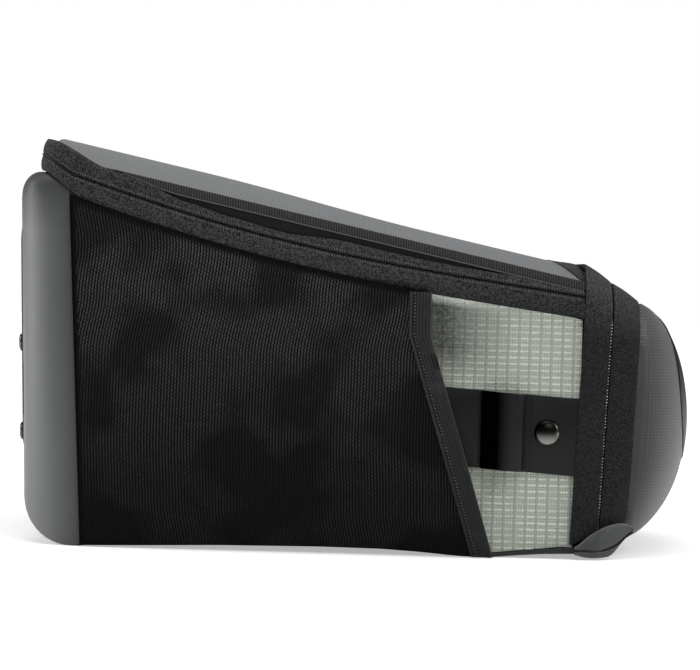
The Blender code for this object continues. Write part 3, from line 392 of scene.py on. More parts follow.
coated_foam = plain_finish("grey_coated_foam", (0.17, 0.174, 0.174), 0.5)
grain = cloud(where, 0.35, 3.0, 0.7)
mottle = cloud(where, 24.0)
parts = axes(where)
# Painted shade: the shell is painted darker within 13 mm of its seam with the side pocket, and towards its
# top under the lid's band. The mottle varies it only a little.
from_seam = minus(SKIRT_X - DRAWN_CENTRE, reckon("MULTIPLY_ADD", parts[2], SKIRT_LEAN, parts[0]))
wear_and_painted_light = times(ranged(from_seam, 0.0, 13.0), ranged(parts[2], 138.0, 121.0, 0.05, 1.0))
wear_and_painted_light = times(wear_and_painted_light, ranged(mottle, 0.3, 0.7, 0.9, 1.0))
colour = tint(wear_and_painted_light, (0.05, 0.052, 0.053), (0.178, 0.182, 0.182))
roughness = ranged(plus(grain, mottle), 0.6, 1.4, 0.42, 0.56)
paint(colour, roughness, grain, 0.03, 0.5)

shell = worked(
    cap(0.0, 0.0, REAR_TOP, SKIRT_X, REAR_CORNER),
    tools=[
        *less(
            cap(SHELL_WALL, SHELL_WALL, REAR_TOP - SHELL_WALL, SKIRT_X + PAST, REAR_CORNER - SHELL_WALL),
            box((OPEN_X, -OPEN_HALF_WIDTH, REAR_TOP - 10), (SKIRT_X + PAST, OPEN_HALF_WIDTH, REAR_TOP + 20))
        ),
        (
            "UNION",
            box((REAR_X + SHELL_WALL - 0.5, -PAD_HALF_WIDTH, PAD_Z[0]), (PAD_X, PAD_HALF_WIDTH, PAD_Z[1]))
        ),
        *less(
            rounded_box(
                (BEHIND, -PLATE_HALF_WIDTH - GAP, PLATE_Z[0] - GAP),
                (PLATE_FACE + PLATE_THICK + GAP, PLATE_HALF_WIDTH + GAP, PLATE_Z[1] + GAP), PLATE_CORNER, 0
            ),
            box((BEHIND, -TUNNEL_HALF_WIDTH, TUNNEL_Z[0]), (GROOVE_X, TUNNEL_HALF_WIDTH, TUNNEL_Z[1])),
            *[
                box(
                    (BEHIND, y - SLOT_WIDTH / 2, SLOT_Z[0] - SLOT_HEIGHT / 2),
                    (GROOVE_X, y + SLOT_WIDTH / 2, SLOT_Z[1] + SLOT_HEIGHT / 2)
                )
                for y in (-BAR_STRAP_Y, BAR_STRAP_Y)
            ]
        ),
        *screw_holes()
    ]
)
rear_shell = settle("rear_shell_skin", lean(shell), coated_foam, "bag", "rear_shell", 30.0)


# Mounting plate: moulded black nylon, let into the rear shell and proud of it, with four slots for the
# handlebar straps. Four machine screws pull it against a board inside the bag.
SCREW_HEAD_RADIUS = 3.6
SCREW_HEAD = 1.4
SCREW_RADIUS = 1.8
BACKING_X = -116.1
BACKING_THICK = 2.0

nylon = plain_finish("black_nylon", (0.05, 0.05, 0.051), 0.38)
grain = cloud(where, 0.5, 4.0, 0.65)
scuffs = ranged(cloud(where, 7.0, 5.0, 0.7), 0.55, 0.75)
paint(
    tint(scuffs, (0.045, 0.045, 0.046), (0.065, 0.065, 0.066)), ranged(grain, 0.3, 0.7, 0.32, 0.46), grain,
    0.05, 0.6
)

dark_nickel = plain_finish("dark_nickel", (0.12, 0.117, 0.108), 0.15, metallic=1.0)
hairlines = cloud(add("Mapping", {"Vector": where, "Scale": (0.6, 0.6, 9.0)}).outputs[0], 1.2, 4.0, 0.7)
tarnish = cloud(where, 3.0, 3.0)
paint(
    tint(ranged(tarnish, 0.3, 0.7), (0.1, 0.097, 0.09), (0.145, 0.142, 0.133)),
    ranged(hairlines, 0.3, 0.7, 0.12, 0.24), hairlines, 0.01, 0.4
)

plate = rounded_box(
    (PLATE_FACE, -PLATE_HALF_WIDTH, PLATE_Z[0]), (PLATE_FACE + PLATE_THICK, PLATE_HALF_WIDTH, PLATE_Z[1]),
    PLATE_CORNER, 0, 10
)
slots = [
    rounded_box(
        (BEHIND, y - SLOT_WIDTH / 2, z - SLOT_HEIGHT / 2),
        (BEHIND + PAST, y + SLOT_WIDTH / 2, z + SLOT_HEIGHT / 2), SLOT_CORNER, 0, 5
    )
    for y in (-BAR_STRAP_Y, BAR_STRAP_Y) for z in SLOT_Z
]
plate = soften(worked(plate, tools=less(*slots) + screw_holes()), 0.5, 3)
settle("mount_plate_skin", lean(plate), nylon, "bag", "mount_plate", flat_over=60.0)


def turned(profile, steps=32):
    """A solid turned about the z axis from points (radius, height), the first and last on the axis."""
    shape = bmesh.new()
    points = [shape.verts.new((radius, 0, height)) for radius, height in profile]
    line = [shape.edges.new(pair) for pair in zip(points, points[1:])]
    bmesh.ops.spin(
        shape, geom=points + line, cent=(0, 0, 0), axis=(0, 0, 1), angle=2 * math.pi, steps=steps,
        use_merge=True
    )
    bmesh.ops.remove_doubles(shape, verts=shape.verts, dist=0.001)
    return shape


def aimed(shape, place, axis):
    """Turns a shape's z axis to another direction and moves it to its place."""
    turn = Vector((0, 0, 1)).rotation_difference(Vector(axis)).to_matrix().to_4x4()
    bmesh.ops.transform(shape, matrix=Matrix.Translation(place) @ turn, verts=shape.verts)
    return shape


shaft = BACKING_X + BACKING_THICK + 1.4 - PLATE_FACE
screw_profile = [
    (0.0, -shaft), (SCREW_RADIUS - 0.5, -shaft), (SCREW_RADIUS, 0.5 - shaft), (SCREW_RADIUS, GAP),
    (SCREW_HEAD_RADIUS - 0.2, GAP), (SCREW_HEAD_RADIUS, GAP + 0.25), (SCREW_HEAD_RADIUS - 0.25, GAP + 0.8),
    (SCREW_HEAD_RADIUS - 0.9, SCREW_HEAD + 0.05), (SCREW_HEAD_RADIUS - 1.6, SCREW_HEAD + 0.25),
    (0.0, SCREW_HEAD + 0.3)
]
for i, (y, z) in enumerate(SCREW_PLACES):
    screw = worked(
        turned(screw_profile), [], [("DIFFERENCE", rod((0, 0, SCREW_HEAD + 0.3), (0, 0, 1), 1.5, 2.0, 6))]
    )
    place = (PLATE_FACE, y, z)
    settle(
        f"plate_screw_{i + 1}", lean(aimed(screw, place, (-1, 0, 0))), dark_nickel, "bag",
        f"mount_screw_{i + 1}"
    )


# Base: a moulded pad of dense black foam, flat in the middle and a little wavy along its rounded edges. The
# side panels, the rear shell and the front wall are sewn down to it, and a stiff board lies on it inside.
BASE_TOP = 3.6
BASE_HALF_WIDTH = 81.0  # inside the side panels
BASE_FLAT = 55.0
BASE_UNDER = (
    # x, height of the underside along the edges
    (-101.7, 0.2),
    (-78.0, 0.8),
    (-48.0, 1.7),
    (-10.0, 2.2),
    (14.0, 2.0),
    (30.0, 1.2),
    (45.0, 0.1),
    (57.0, 0.0),
    (66.0, 0.9),
    (76.0, 1.7),
    (97.2, 2.4),
)
BASE_EDGE = (
    # x, height of the upper edge under a side panel
    (-101.7, 3.5),
    (30.0, 3.5),
    (50.0, 1.5),
    (57.0, 1.5),
    (86.0, 4.6),
    (97.2, 4.6),
)
BASE_ROUND = 0.8
BASE_STEPS = 80
BOARD_CORNER = 6.0
BOARD_LOW = (-96.0, -78.0, 3.9)
BOARD_HIGH = (86.0, 78.0, 5.4)
BACKING_HALF_WIDTH = 60.0

black_foam = plain_finish("black_foam", (0.02, 0.02, 0.021), 0.78, sheen=0.15)
knit = times(bands(where, 0.9, "X"), bands(where, 0.7, "Y"))
fuzz = cloud(where, 0.6, 3.0, 0.7)
dust = ranged(cloud(where, 18.0, 4.0, 0.6), 0.5, 0.75)
paint(
    tint(dust, (0.017, 0.017, 0.018), (0.034, 0.034, 0.035)), ranged(fuzz, 0.3, 0.7, 0.7, 0.88),
    plus(knit, fuzz), 0.12, 0.7
)


def smooth_step(t):
    t = min(1.0, max(0.0, t))
    return t * t * (3 - 2 * t)


def along_table(table, value, soft=False):
    """The height at a place on a line through (place, height) points, straight or soft between them."""
    for (low, first), (high, last) in zip(table, table[1:]):
        if value < high:
            share = max(0.0, value - low) / (high - low)
            return mix(first, last, smooth_step(share) if soft else share)
    return table[-1][1]


def swept(sections):
    """A solid through sections with the same number of points: a grid rolled into a tube, with filled ends.

    Its points carry the weave: millimetres along the sweep, and round the section."""
    shape = bmesh.new()
    weave = shape.verts.layers.float_vector.new("weave")
    steps, sides = len(sections) - 1, len(sections[0])
    centres = [sum((Vector(point) for point in section), Vector()) / sides for section in sections]
    along, around = [0.0], [0.0]
    for before, after in zip(centres, centres[1:]):
        along.append(along[-1] + (after - before).length)
    middle = sections[steps // 2]
    for before, after in zip(middle, middle[1:] + middle[:1]):
        around.append(around[-1] + (Vector(after) - Vector(before)).length)
    bmesh.ops.create_grid(shape, x_segments=steps, y_segments=sides, size=0.5)
    for vert in shape.verts:
        i, j = round((vert.co.x + 0.5) * steps), round((vert.co.y + 0.5) * sides)
        vert[weave] = (along[i], around[j], 0.0)
        vert.co = sections[i][j % sides]
    bmesh.ops.remove_doubles(shape, verts=shape.verts, dist=0.0001)
    bmesh.ops.holes_fill(shape, edges=[edge for edge in shape.edges if edge.is_boundary])
    return shape


def arc(centre, radii, start, sweep, steps):
    """Points along an ellipse's arc, from an angle through a turn, both in degrees."""
    turns = [math.radians(start + sweep * i / steps) for i in range(steps + 1)]
    return [(centre[0] + radii[0] * math.cos(turn), centre[1] + radii[1] * math.sin(turn)) for turn in turns]


base_sections = []
for i in range(BASE_STEPS + 1):
    x = mix(BASE_UNDER[0][0], BASE_UNDER[-1][0], i / BASE_STEPS)
    under, edge = along_table(BASE_UNDER, x), along_table(BASE_EDGE, x)
    half, turned_up = HALF_WIDTH - BASE_ROUND, min(BASE_ROUND, edge - under - 0.3)
    flank = [(BASE_FLAT, 0.0), *arc((half, under + turned_up), (BASE_ROUND, turned_up), -90, 90, 4)]
    flank += [(HALF_WIDTH, edge - 0.15), (HALF_WIDTH - 0.3, edge)]
    flank += [(BASE_HALF_WIDTH, edge), (BASE_HALF_WIDTH - 0.3, BASE_TOP)]
    base_sections.append([(x, y, z) for y, z in flank + [(-y, z) for y, z in reversed(flank)]])
base_skin = settle("base_skin", swept(base_sections), black_foam, "bag", "bottom_shell")

stiff_board = plain_finish("stiff_board", (0.05, 0.05, 0.05), 0.6)
grain = cloud(where, 0.8, 5.0, 0.7)
paint(
    tint(ranged(grain, 0.35, 0.65), (0.042, 0.042, 0.042), (0.06, 0.059, 0.057)),
    ranged(grain, 0.3, 0.7, 0.5, 0.68), grain, 0.06, 0.5
)
board = soften(rounded_box(BOARD_LOW, BOARD_HIGH, BOARD_CORNER, 2), 0.3)
settle("base_board", board, stiff_board, "bag", "bottom_board")
backing = rounded_box(
    (BACKING_X, -BACKING_HALF_WIDTH, PAD_Z[0] + 2),
    (BACKING_X + BACKING_THICK, BACKING_HALF_WIDTH, PAD_Z[1] - 2), BOARD_CORNER, 0
)
backing = worked(backing, tools=screw_holes())
settle("plate_backing", lean(soften(backing, 0.3)), stiff_board, "bag", "backing_board")


# Side panels: silver-grey ripstop laminated to 4 mm of foam, turned in and sewn at every edge. The strap and
# the seams pull it into shallow hollows.
PANEL = 4.0
PANEL_LIFT = 0.4  # from the base's edge
PANEL_MIDDLE_Z = 60.0
FRAME_REAR = 90.3  # the front frame's rear edge, which leans forwards up to a height
FRAME_LEAN = 0.04
FRAME_LEAN_TOP = 98.0
BODY_FRONT = 89.7
SEAM_FRONT = 93.0
SLOPE = 0.2097
SAG = 5.8
RIM_STRAIGHT = -106.0
RIVET_PLACE = (76.9, 48.7)
RIVET_HOLE = 1.7
RIPSTOP_CELL = (4.2, 2.45)
SEAM_START = 105.0  # the seam over the ripstop's free part, as a straight line in the cloth's colours
SEAM_SLOPE = 0.141
PANEL_CREASES = (
    # from (x, z) to (x, z), width, depth
    ((33.0, 96.0), (37.0, 76.0), 3.5, 1.3),
    ((45.0, 40.0), (54.0, 27.0), 2.6, 1.0),
    ((54.0, 27.0), (59.0, 38.0), 3.0, 0.7),
    ((60.0, 4.0), (87.0, 5.0), 3.0, 0.5),
    ((38.0, 71.5), (88.0, 68.5), 1.8, 0.35),
)


def straight_seam(x):
    return SEAM_FRONT + SLOPE * (BODY_FRONT - x)


def side_seam(x, side):
    """The seam along the top of a side panel, which droops on the right under the soft zip band."""
    if side > 0 or not RIM_STRAIGHT < x < BODY_FRONT:
        return straight_seam(x)
    share = (x - RIM_STRAIGHT) / (BODY_FRONT - RIM_STRAIGHT)
    return straight_seam(x) - SAG * math.sin(math.pi * share**0.85) ** 1.1


def skirt_x(z):
    return SKIRT_X - SKIRT_LEAN * z


def frame_shift(z):
    """How far back the leaning front frame lies at a height."""
    return -FRAME_LEAN * max(0.0, FRAME_LEAN_TOP - z)


def creased(x, z, creases):
    """How deep creases press a cloth at a point. A crease fades away from its line."""
    deep = 0.0
    for first, last, width, depth in creases:
        way = Vector(last) - Vector(first)
        here = Vector((x, z)) - Vector(first)
        along = min(1.0, max(0.0, here.dot(way) / way.length_squared))
        deep += depth * math.exp(-(((here - way * along).length / width) ** 2))
    return deep


def laid(columns, rows, front, back, weave=None):
    """A slab from a grid. front and back give its two faces' points from shares across and up.

    weave gives each point's place in its own cloth, in millimetres."""
    shape = bmesh.new()
    cloth = shape.verts.layers.float_vector.new("weave")
    bmesh.ops.create_grid(shape, x_segments=columns, y_segments=rows, size=0.5)
    made = bmesh.ops.extrude_face_region(shape, geom=list(shape.faces))["geom"]
    ahead = {part for part in made if isinstance(part, bmesh.types.BMVert)}
    for vert in shape.verts:
        face = front if vert in ahead else back
        vert.co = face(vert.co.x + 0.5, vert.co.y + 0.5)
        vert[cloth] = weave(vert.co) if weave else vert.co
    return shape


ripstop = plain_finish("silver_ripstop", (0.42, 0.46, 0.4), 0.5, sheen=0.15)
parts = axes(where)
upright = add("CombineXYZ", {0: parts[0], 1: parts[2]}).outputs[0]
threads = times(bands(upright, 0.6, "X"), bands(upright, 0.5, "Y"))
row = ranged(bands(upright, RIPSTOP_CELL[1], "Y", 0.3), 0.7, 0.95)
column = ranged(bands(upright, RIPSTOP_CELL[0], "X", 0.3), 0.84, 0.97)
worn = ranged(cloud(upright, 8.0, 3.0, 0.6), 0.36, 0.58, 0.35, 1.0)
dash = times(row, times(worn, ranged(column, 0.0, 0.6, 1.0, 0.0)))
speck = cloud(upright, 0.7, 2.0, 0.8)
crossing = times(
    ranged(bands(upright, 1.05, "X", 0.6), 0.3, 0.7), ranged(bands(upright, 0.82, "Y", 0.6), 0.3, 0.7)
)
cloth = tint(ranged(speck, 0.35, 0.65), (0.36, 0.4, 0.34), (0.6, 0.65, 0.56))
cloth = tint(times(crossing, 0.75), cloth, (0.14, 0.16, 0.13))
cloth = tint(times(column, 0.3), cloth, (0.2, 0.22, 0.19))
cloth = tint(times(dash, 0.8), cloth, (0.82, 0.86, 0.79))
# Painted shadow: the upper rear corner by the pocket's mouth is painted dark, broken into grainy streaks.
shaded = times(ranged(parts[0], 60.0, 30.0), ranged(parts[2], 64.0, 80.0))
shadow_mottle = ranged(cloud(upright, 1.6, 3.0, 0.9), 0.35, 0.6)
shaded = times(shaded, ranged(shadow_mottle, 0.0, 1.0, 0.75, 1.1))
cloth = tint(shaded, cloth, (0.035, 0.04, 0.033))
# Just under the top seam the cloth is paler in specks, fading out towards the front.
seam_line = reckon("MULTIPLY_ADD", parts[0], -SEAM_SLOPE, SEAM_START)
below_seam = minus(seam_line, parts[2])
pale_seam_edge = times(ranged(below_seam, 4.0, 1.2), ranged(speck, 0.35, 0.6, 0.35, 1.0))
pale_seam_edge = times(pale_seam_edge, ranged(parts[0], 60.0, 38.0))
cloth = tint(pale_seam_edge, cloth, (0.8, 0.84, 0.77))
ridges = plus(times(row, 1.5), column)
paint(cloth, ranged(speck, 0.3, 0.7, 0.38, 0.62), plus(ridges, times(threads, 0.6)), 0.16, 0.8)


def rivet_hole(side):
    return less(rod((RIVET_PLACE[0], side * HALF_WIDTH, RIVET_PLACE[1]), (0, 1, 0), RIVET_HOLE, 20))


for side, word in SIDES:

    def outside(across, up, deep=0.0):
        x = mix(skirt_x(PANEL_MIDDLE_Z), BODY_FRONT, across)
        for _ in range(2):
            foot = along_table(BASE_EDGE, x) + PANEL_LIFT
            z = mix(foot, side_seam(x, side) - GAP, up)
            rear, front = skirt_x(z) + GAP + 0.5, min(BODY_FRONT - GAP, FRAME_REAR + frame_shift(z) + 0.6)
            x = mix(rear, front, across)
        pressed = 0.0 if deep else creased(x, z, PANEL_CREASES)
        return Vector((x, side * (HALF_WIDTH - deep - pressed), z))

    panel = laid(70, 36, outside, lambda across, up: outside(across, up, PANEL))
    panel = worked(soften(panel, 0.5, 3), tools=rivet_hole(side))
    settle(f"side_panel_{word}_skin", panel, ripstop, "bag", f"side_panel_{word}")


# Front wall: foam laminated with black cloth, between the main compartment and the front pocket. Its top
# edge follows the lid's crown.
WALL_THICK = 1.9
WALL_FOOT = 4.0
CROWN = (8.7, 6.3)  # behind and in front
CROWN_X = (-60.0, 30.0)  # between these it sinks
CROWN_POWER = 2.6
LID_INSET = 2.5
LID_FRONT = 88.6
ZIP_ABOVE_SEAM = 8.3
TRIM_ABOVE_ZIP = 2.2


def trim_height(x):
    """The underside of the lid's edge trim, which is straight because the lid is stiff."""
    return straight_seam(x) + ZIP_ABOVE_SEAM + TRIM_ABOVE_ZIP


def crown(x, y):
    """How far the lid's top is crowned above its edge."""
    share = min(1.0, abs(y) / (HALF_WIDTH - LID_INSET))
    sunk = smooth_step((x - CROWN_X[0]) / (CROWN_X[1] - CROWN_X[0]))
    return mix(*CROWN, sunk) * (1 - share**CROWN_POWER)


def wall_face(x):
    half = HALF_WIDTH - PANEL - GAP

    def point(across, up):
        y = half * (2 * across - 1)
        top = trim_height(LID_FRONT) + crown(LID_FRONT, y) - 0.6
        return Vector((x, y, mix(WALL_FOOT, top, up)))

    return point


wall = laid(40, 24, wall_face(BODY_FRONT - GAP), wall_face(BODY_FRONT - GAP - WALL_THICK))
wall = soften(wall, 0.6, 3)
front_wall = settle("front_wall_skin", wall, black_foam, "bag", "front_wall")


# Side pockets: black stretch mesh, knitted in ribs and sewn to the bag along three sides. It swells a little
# between the seams, and its mouth stands off far enough to take the binding.
MESH_THICK = 1.0
POCKET_BULGE = 6.6
POCKET_BOTTOM = 0.3  # above the base's underside
POCKET_SKIRT = 0.3
POCKET_HEIGHT = 105.0  # about, to find its rear edge with
EDGE_STEP = 0.8
MOUTH_X = 31.0
MOUTH_BEND_Z = 85.0
MOUTH_LEAN = 0.31
MOUTH_GAP = 1.7
MESH_EDGE = 1.5
RIB = 1.17
KNOT = 1.46
RIB_DRIFT = ((0.0, 4.0), (18.0, 1.6), (45.0, 0.6), (75.0, 1.0), (98.0, 4.2), (116.0, 6.0), (136.0, 3.0))


def mouth_x(z):
    """The front edge of a pocket's mouth, which leans forwards below a bend."""
    return MOUTH_X + MOUTH_LEAN * max(0.0, MOUTH_BEND_Z - z)


def pocket_top(x, side):
    return side_seam(x, side) + 0.4


def pocket_bottom(x):
    return POCKET_BOTTOM + along_table(BASE_UNDER, x)


def pocket_offset(x, z, side):
    """How far a pocket's inner face stands off the side panel."""
    edges = (
        smooth_step((pocket_top(x, side) - z) / 60.0), smooth_step((z - POCKET_BOTTOM) / 30.0),
        smooth_step((x - skirt_x(z)) / 30.0)
    )
    swell = POCKET_BULGE * edges[0] * edges[1] * edges[2]
    lumps = 0.07 * math.sin(x / 11.0 + z / 17.0) + 0.05 * math.sin(x / 23.0 - z / 13.0 + 1.0)
    edge = smooth_step(min(pocket_top(x, side) - z, x - skirt_x(z)) / 3.5)
    return 0.5 + EDGE_STEP * edge + swell * (1 + lumps)


stretch_mesh = plain_finish("black_stretch_mesh", (0.007, 0.007, 0.007), 0.85, specular=0.12)
weave = along_weave()
loose = cloud(where, 26.0, 2.0, 0.4)
rib = bands(weave, RIB, "X", 0.3)
alternate = ranged(bands(weave, 2 * RIB, "X", 0.15, math.pi / 2), 0.0, 1.0, -1.0, 1.0)
stagger = ranged(bands(weave, KNOT, "Y", 0.4), 0.0, 1.0, -1.0, 1.0)
knot = reckon("MULTIPLY_ADD", alternate, times(stagger, 0.5), 0.5)
uneven = ranged(cloud(where, 1.3, 3.0, 0.9), 0.35, 0.62, 0.45, 1.0)
thread = times(ranged(rib, 0.15, 0.95), ranged(knot, 0.1, 0.8, 0.5, 1.0))
thread = times(thread, uneven)
slack = ranged(loose, 0.42, 0.56, 0.35, 1.0)
speck = ranged(cloud(where, 0.5, 2.0, 0.9), 0.66, 0.74)
yarn = times(thread, slack)
# Painted shade: the ribs are painted darker towards the bottom of the pocket, where less light falls from
# above.
height = ranged(axes(where)[2], 25.0, 122.0)
yarn = times(yarn, ranged(height, 0.0, 1.0, 0.25, 1.0))
# Painted shade: within a few millimetres of the seams behind and above, the ribs fade to dark.
from_seam = axes(weave)[2]
yarn = times(yarn, ranged(from_seam, 1.2, 3.2))
colour = tint(yarn, (0.0022, 0.0022, 0.0023), (0.105, 0.105, 0.106))
colour = tint(times(speck, 0.08), colour, (0.2, 0.2, 0.2))
paint(colour, ranged(yarn, 0.0, 1.0, 0.95, 0.62), thread, 0.22, 0.9)


def mesh_weave(point):
    """The ribs drift sideways with height, as the stretched mesh draws them. Its third value is the distance
    from the sewn edges behind and above."""
    x, z = point.x, point.z
    return Vector(
        (x - along_table(RIB_DRIFT, z, soft=True), z, min(x - skirt_x(z), side_seam(x, point.y) - z))
    )


for side, word in SIDES:

    def net(across, up, thick=0.0):
        z = POCKET_BOTTOM + POCKET_HEIGHT * up
        for _ in range(3):
            rear, front = skirt_x(z) + POCKET_SKIRT, mouth_x(z) - MESH_EDGE
            x = mix(rear, front, across)
            z = mix(pocket_bottom(x), pocket_top(x, side), up)
        off = pocket_offset(x, z, side) + MOUTH_GAP * smooth_step((across - 0.75) / 0.2)
        return Vector((x, side * (HALF_WIDTH + off + thick), z))

    mesh = laid(72, 60, lambda across, up: net(across, up, MESH_THICK), net, mesh_weave)
    settle(
        f"mesh_pocket_{word}_skin", soften(mesh, 0.3, 2), stretch_mesh, "bag", f"mesh_pocket_{word}"
    )


# Pocket mouths: a flat ribbed elastic tape folded over the mesh's edge and sewn through with one row of
# black stitches, with a bar tack half way down where the strap passes behind.
BINDING_WIDTH = 8.5
BINDING_TURN = 5.5
BINDING_PROUD = 1.15
BINDING_THICK = 0.55
BINDING_EDGE = 0.8  # how deep its rounded edge is
BINDING_RIBS = 6
BINDING_RIB = 1.33
RIB_RISE = 0.2
STITCH_LINE = 6.4
STITCH_SIZE = (0.34, 0.3, 0.24)
STITCH_PITCH = 1.3
TACK_Z = (72.5, 77.5)
TACK_SIZE = (0.6, 0.36, 0.24)
BEAD_GROUP = 20  # beads are made in small groups, which is quicker


def evenly(points, pitch):
    """Places a pitch apart along a line, each with the line's direction there."""
    found, ahead = [], pitch / 2
    for first, last in zip(points, points[1:]):
        way = Vector(last) - Vector(first)
        length = way.length
        while ahead <= length and length > 0:
            found.append((Vector(first) + way * (ahead / length), way / length))
            ahead += pitch
        ahead -= length
    return found


def joined(shapes):
    """Several closed shapes as one mesh."""
    whole = bmesh.new()
    for part in shapes:
        mesh = bpy.data.meshes.new("part")
        part.to_mesh(mesh)
        part.free()
        whole.from_mesh(mesh)
        bpy.data.meshes.remove(mesh)
    return whole


def beads(places, size):
    """Small rounded stitches or teeth. Each place has a point, a direction and an outward normal.

    size is half the length along the direction, half the width, and the height along the normal."""
    groups = []
    squash = Matrix.Diagonal((*size, 1.0))
    for i, (point, along, out) in enumerate(places):
        if i % BEAD_GROUP == 0:
            groups.append(bmesh.new())
        turn = Matrix((along, out.cross(along), out)).transposed().to_4x4() @ squash
        bmesh.ops.create_uvsphere(
            groups[-1], u_segments=6, v_segments=4, radius=1.0, matrix=Matrix.Translation(point) @ turn
        )
    return joined(groups)


ribbed_tape = plain_finish("black_ribbed_tape", (0.012, 0.012, 0.013), 0.75, sheen=0.08, specular=0.25)
weave = along_weave()
fuzz = cloud(where, 0.4, 3.0, 0.8)
picks = bands(weave, 0.55, "X", 0.4)
wear_and_painted_light = ranged(cloud(where, 9.0, 4.0, 0.7), 0.5, 0.72)
ribbing = bands(weave, BINDING_RIB, "Y", 0.1)
section_place = axes(weave)[1]
edge = ranged(section_place, 0.7, 0.3)
colour = tint(ranged(fuzz, 0.35, 0.65), (0.005, 0.005, 0.0052), (0.034, 0.0345, 0.035))
colour = tint(ranged(ribbing, 0.5, 0.15, 0.0, 0.9), colour, (0.002, 0.002, 0.002))
colour = tint(times(reckon("MAXIMUM", wear_and_painted_light, edge), 0.35), colour, (0.07, 0.07, 0.07))
holes = reckon("ABSOLUTE", minus(section_place, BINDING_WIDTH - STITCH_LINE))
colour = tint(ranged(holes, 0.75, 0.4), colour, (0.0015, 0.0015, 0.0015))
# Painted shade: the binding is painted darker towards the bottom, where less light falls from above.
shade_lower_down = ranged(axes(where)[2], 80.0, 20.0, 0.0, 0.45)
colour = tint(shade_lower_down, colour, (0.004, 0.004, 0.004))
paint(colour, ranged(fuzz, 0.3, 0.7, 0.62, 0.85), plus(times(picks, 0.7), fuzz), 0.1, 0.8)

zip_thread = plain_finish("zip_thread", (0.05, 0.051, 0.05), 0.8, specular=0.2)
fluff = cloud(where, 0.6, 2.0, 0.8)
paint(
    tint(ranged(fluff, 0.4, 0.6), (0.04, 0.04, 0.04), (0.17, 0.171, 0.169)),
    ranged(fluff, 0.3, 0.7, 0.7, 0.9), fluff, 0.05, 0.5
)

black_thread = plain_finish("black_thread", (0.005, 0.005, 0.005), 0.6, specular=0.2)
twist = bands(where, 0.3, "DIAGONAL", 0.5)
paint(
    tint(twist, (0.003, 0.003, 0.003), (0.01, 0.01, 0.01)), ranged(twist, 0.0, 1.0, 0.7, 0.5), twist, 0.05,
    0.7
)


def mouth_offset(z, side):
    return MOUTH_GAP + pocket_offset(mouth_x(z) - 4, z, side)


def binding_section(z, side):
    """The folded tape's outline at a height, from its ribbed outer leaf round the edge to its inner leaf."""
    inner = HALF_WIDTH + mouth_offset(z, side)
    outer = inner + MESH_THICK
    high, low = outer + BINDING_PROUD, inner - BINDING_PROUD
    profile = []
    for i in range(6 * BINDING_RIBS + 1):
        share = i / (6 * BINDING_RIBS)
        ridge = RIB_RISE * abs(math.sin(math.pi * BINDING_RIBS * share))
        profile.append((mix(-BINDING_WIDTH, -BINDING_EDGE, share), high - 0.12 + ridge))
    middle, half = (high + low) / 2, (high - low) / 2
    profile += arc((-BINDING_EDGE, middle), (BINDING_EDGE, half), 90, -180, 8)[1:-1]
    profile += [(-BINDING_EDGE, low), (-BINDING_TURN, low), (-BINDING_TURN, low + BINDING_THICK)]
    profile += [(-0.9, low + BINDING_THICK), (-0.9, high - BINDING_THICK)]
    profile += [(-BINDING_WIDTH, high - BINDING_THICK)]
    return [(mouth_x(z) + x, side * y, z) for x, y in profile]


for side, word in SIDES:
    top = pocket_top(MOUTH_X, side)
    heights = [mix(POCKET_BOTTOM, top, i / 48) for i in range(49)]
    binding = settle(
        f"pocket_binding_{word}_skin", swept([binding_section(z, side) for z in heights]), ribbed_tape, "bag",
        f"pocket_binding_{word}", 60
    )
    line = []
    for z in heights:
        out = HALF_WIDTH + mouth_offset(z, side) + MESH_THICK + BINDING_PROUD + 0.02
        line.append((mouth_x(z) - STITCH_LINE, side * out, z))
    outward = Vector((0, side, 0))
    sewn = [(point, way, outward) for point, way in evenly(line, STITCH_PITCH)]
    tacked = []
    for i in range(9):
        z = mix(*TACK_Z, i / 8)
        out = HALF_WIDTH + mouth_offset(z, side) + MESH_THICK + BINDING_PROUD
        for back in (0.6, 2.0):
            tacked.append((Vector((mouth_x(z) - back, side * out, z)), Vector((1, 0, 0)), outward))
    stitching = settle(
        f"pocket_stitches_{word}", beads(sewn, STITCH_SIZE), zip_thread, "bag", slot="black_ribbed_tape"
    )
    tack = settle(
        f"pocket_tack_{word}", beads(tacked, TACK_SIZE), black_thread, "bag", slot="black_ribbed_tape"
    )


# Side straps: a flat strap of black coated polyester on each side, sewn into the pocket's mouth and the front
# frame. Between two rows of stitches it stands up in a loop, open at both ends, for a hook or a light.
STRAP_START = 33.0
STRAP_Z = 50.2
STRAP_SLOPE = 0.065
STRAP_WIDTH = 30.0
STRAP_THICK = 1.2
LOOP_X = (51.3, 68.0)
LOOP_RISE = 5.6
LOOP_STITCHES = (50.6, 68.7)
SEWN_ROWS = (50.9, 68.7, 70.4)  # where the strap is drawn down along its rows of stitches
SEWN_PITCH = 2.3
SEWN_SIZE = (0.85, 0.3, 0.3)
SEWN_WIDTH = 0.8
STRAP_TUCK = 0.5  # under the front frame's edge

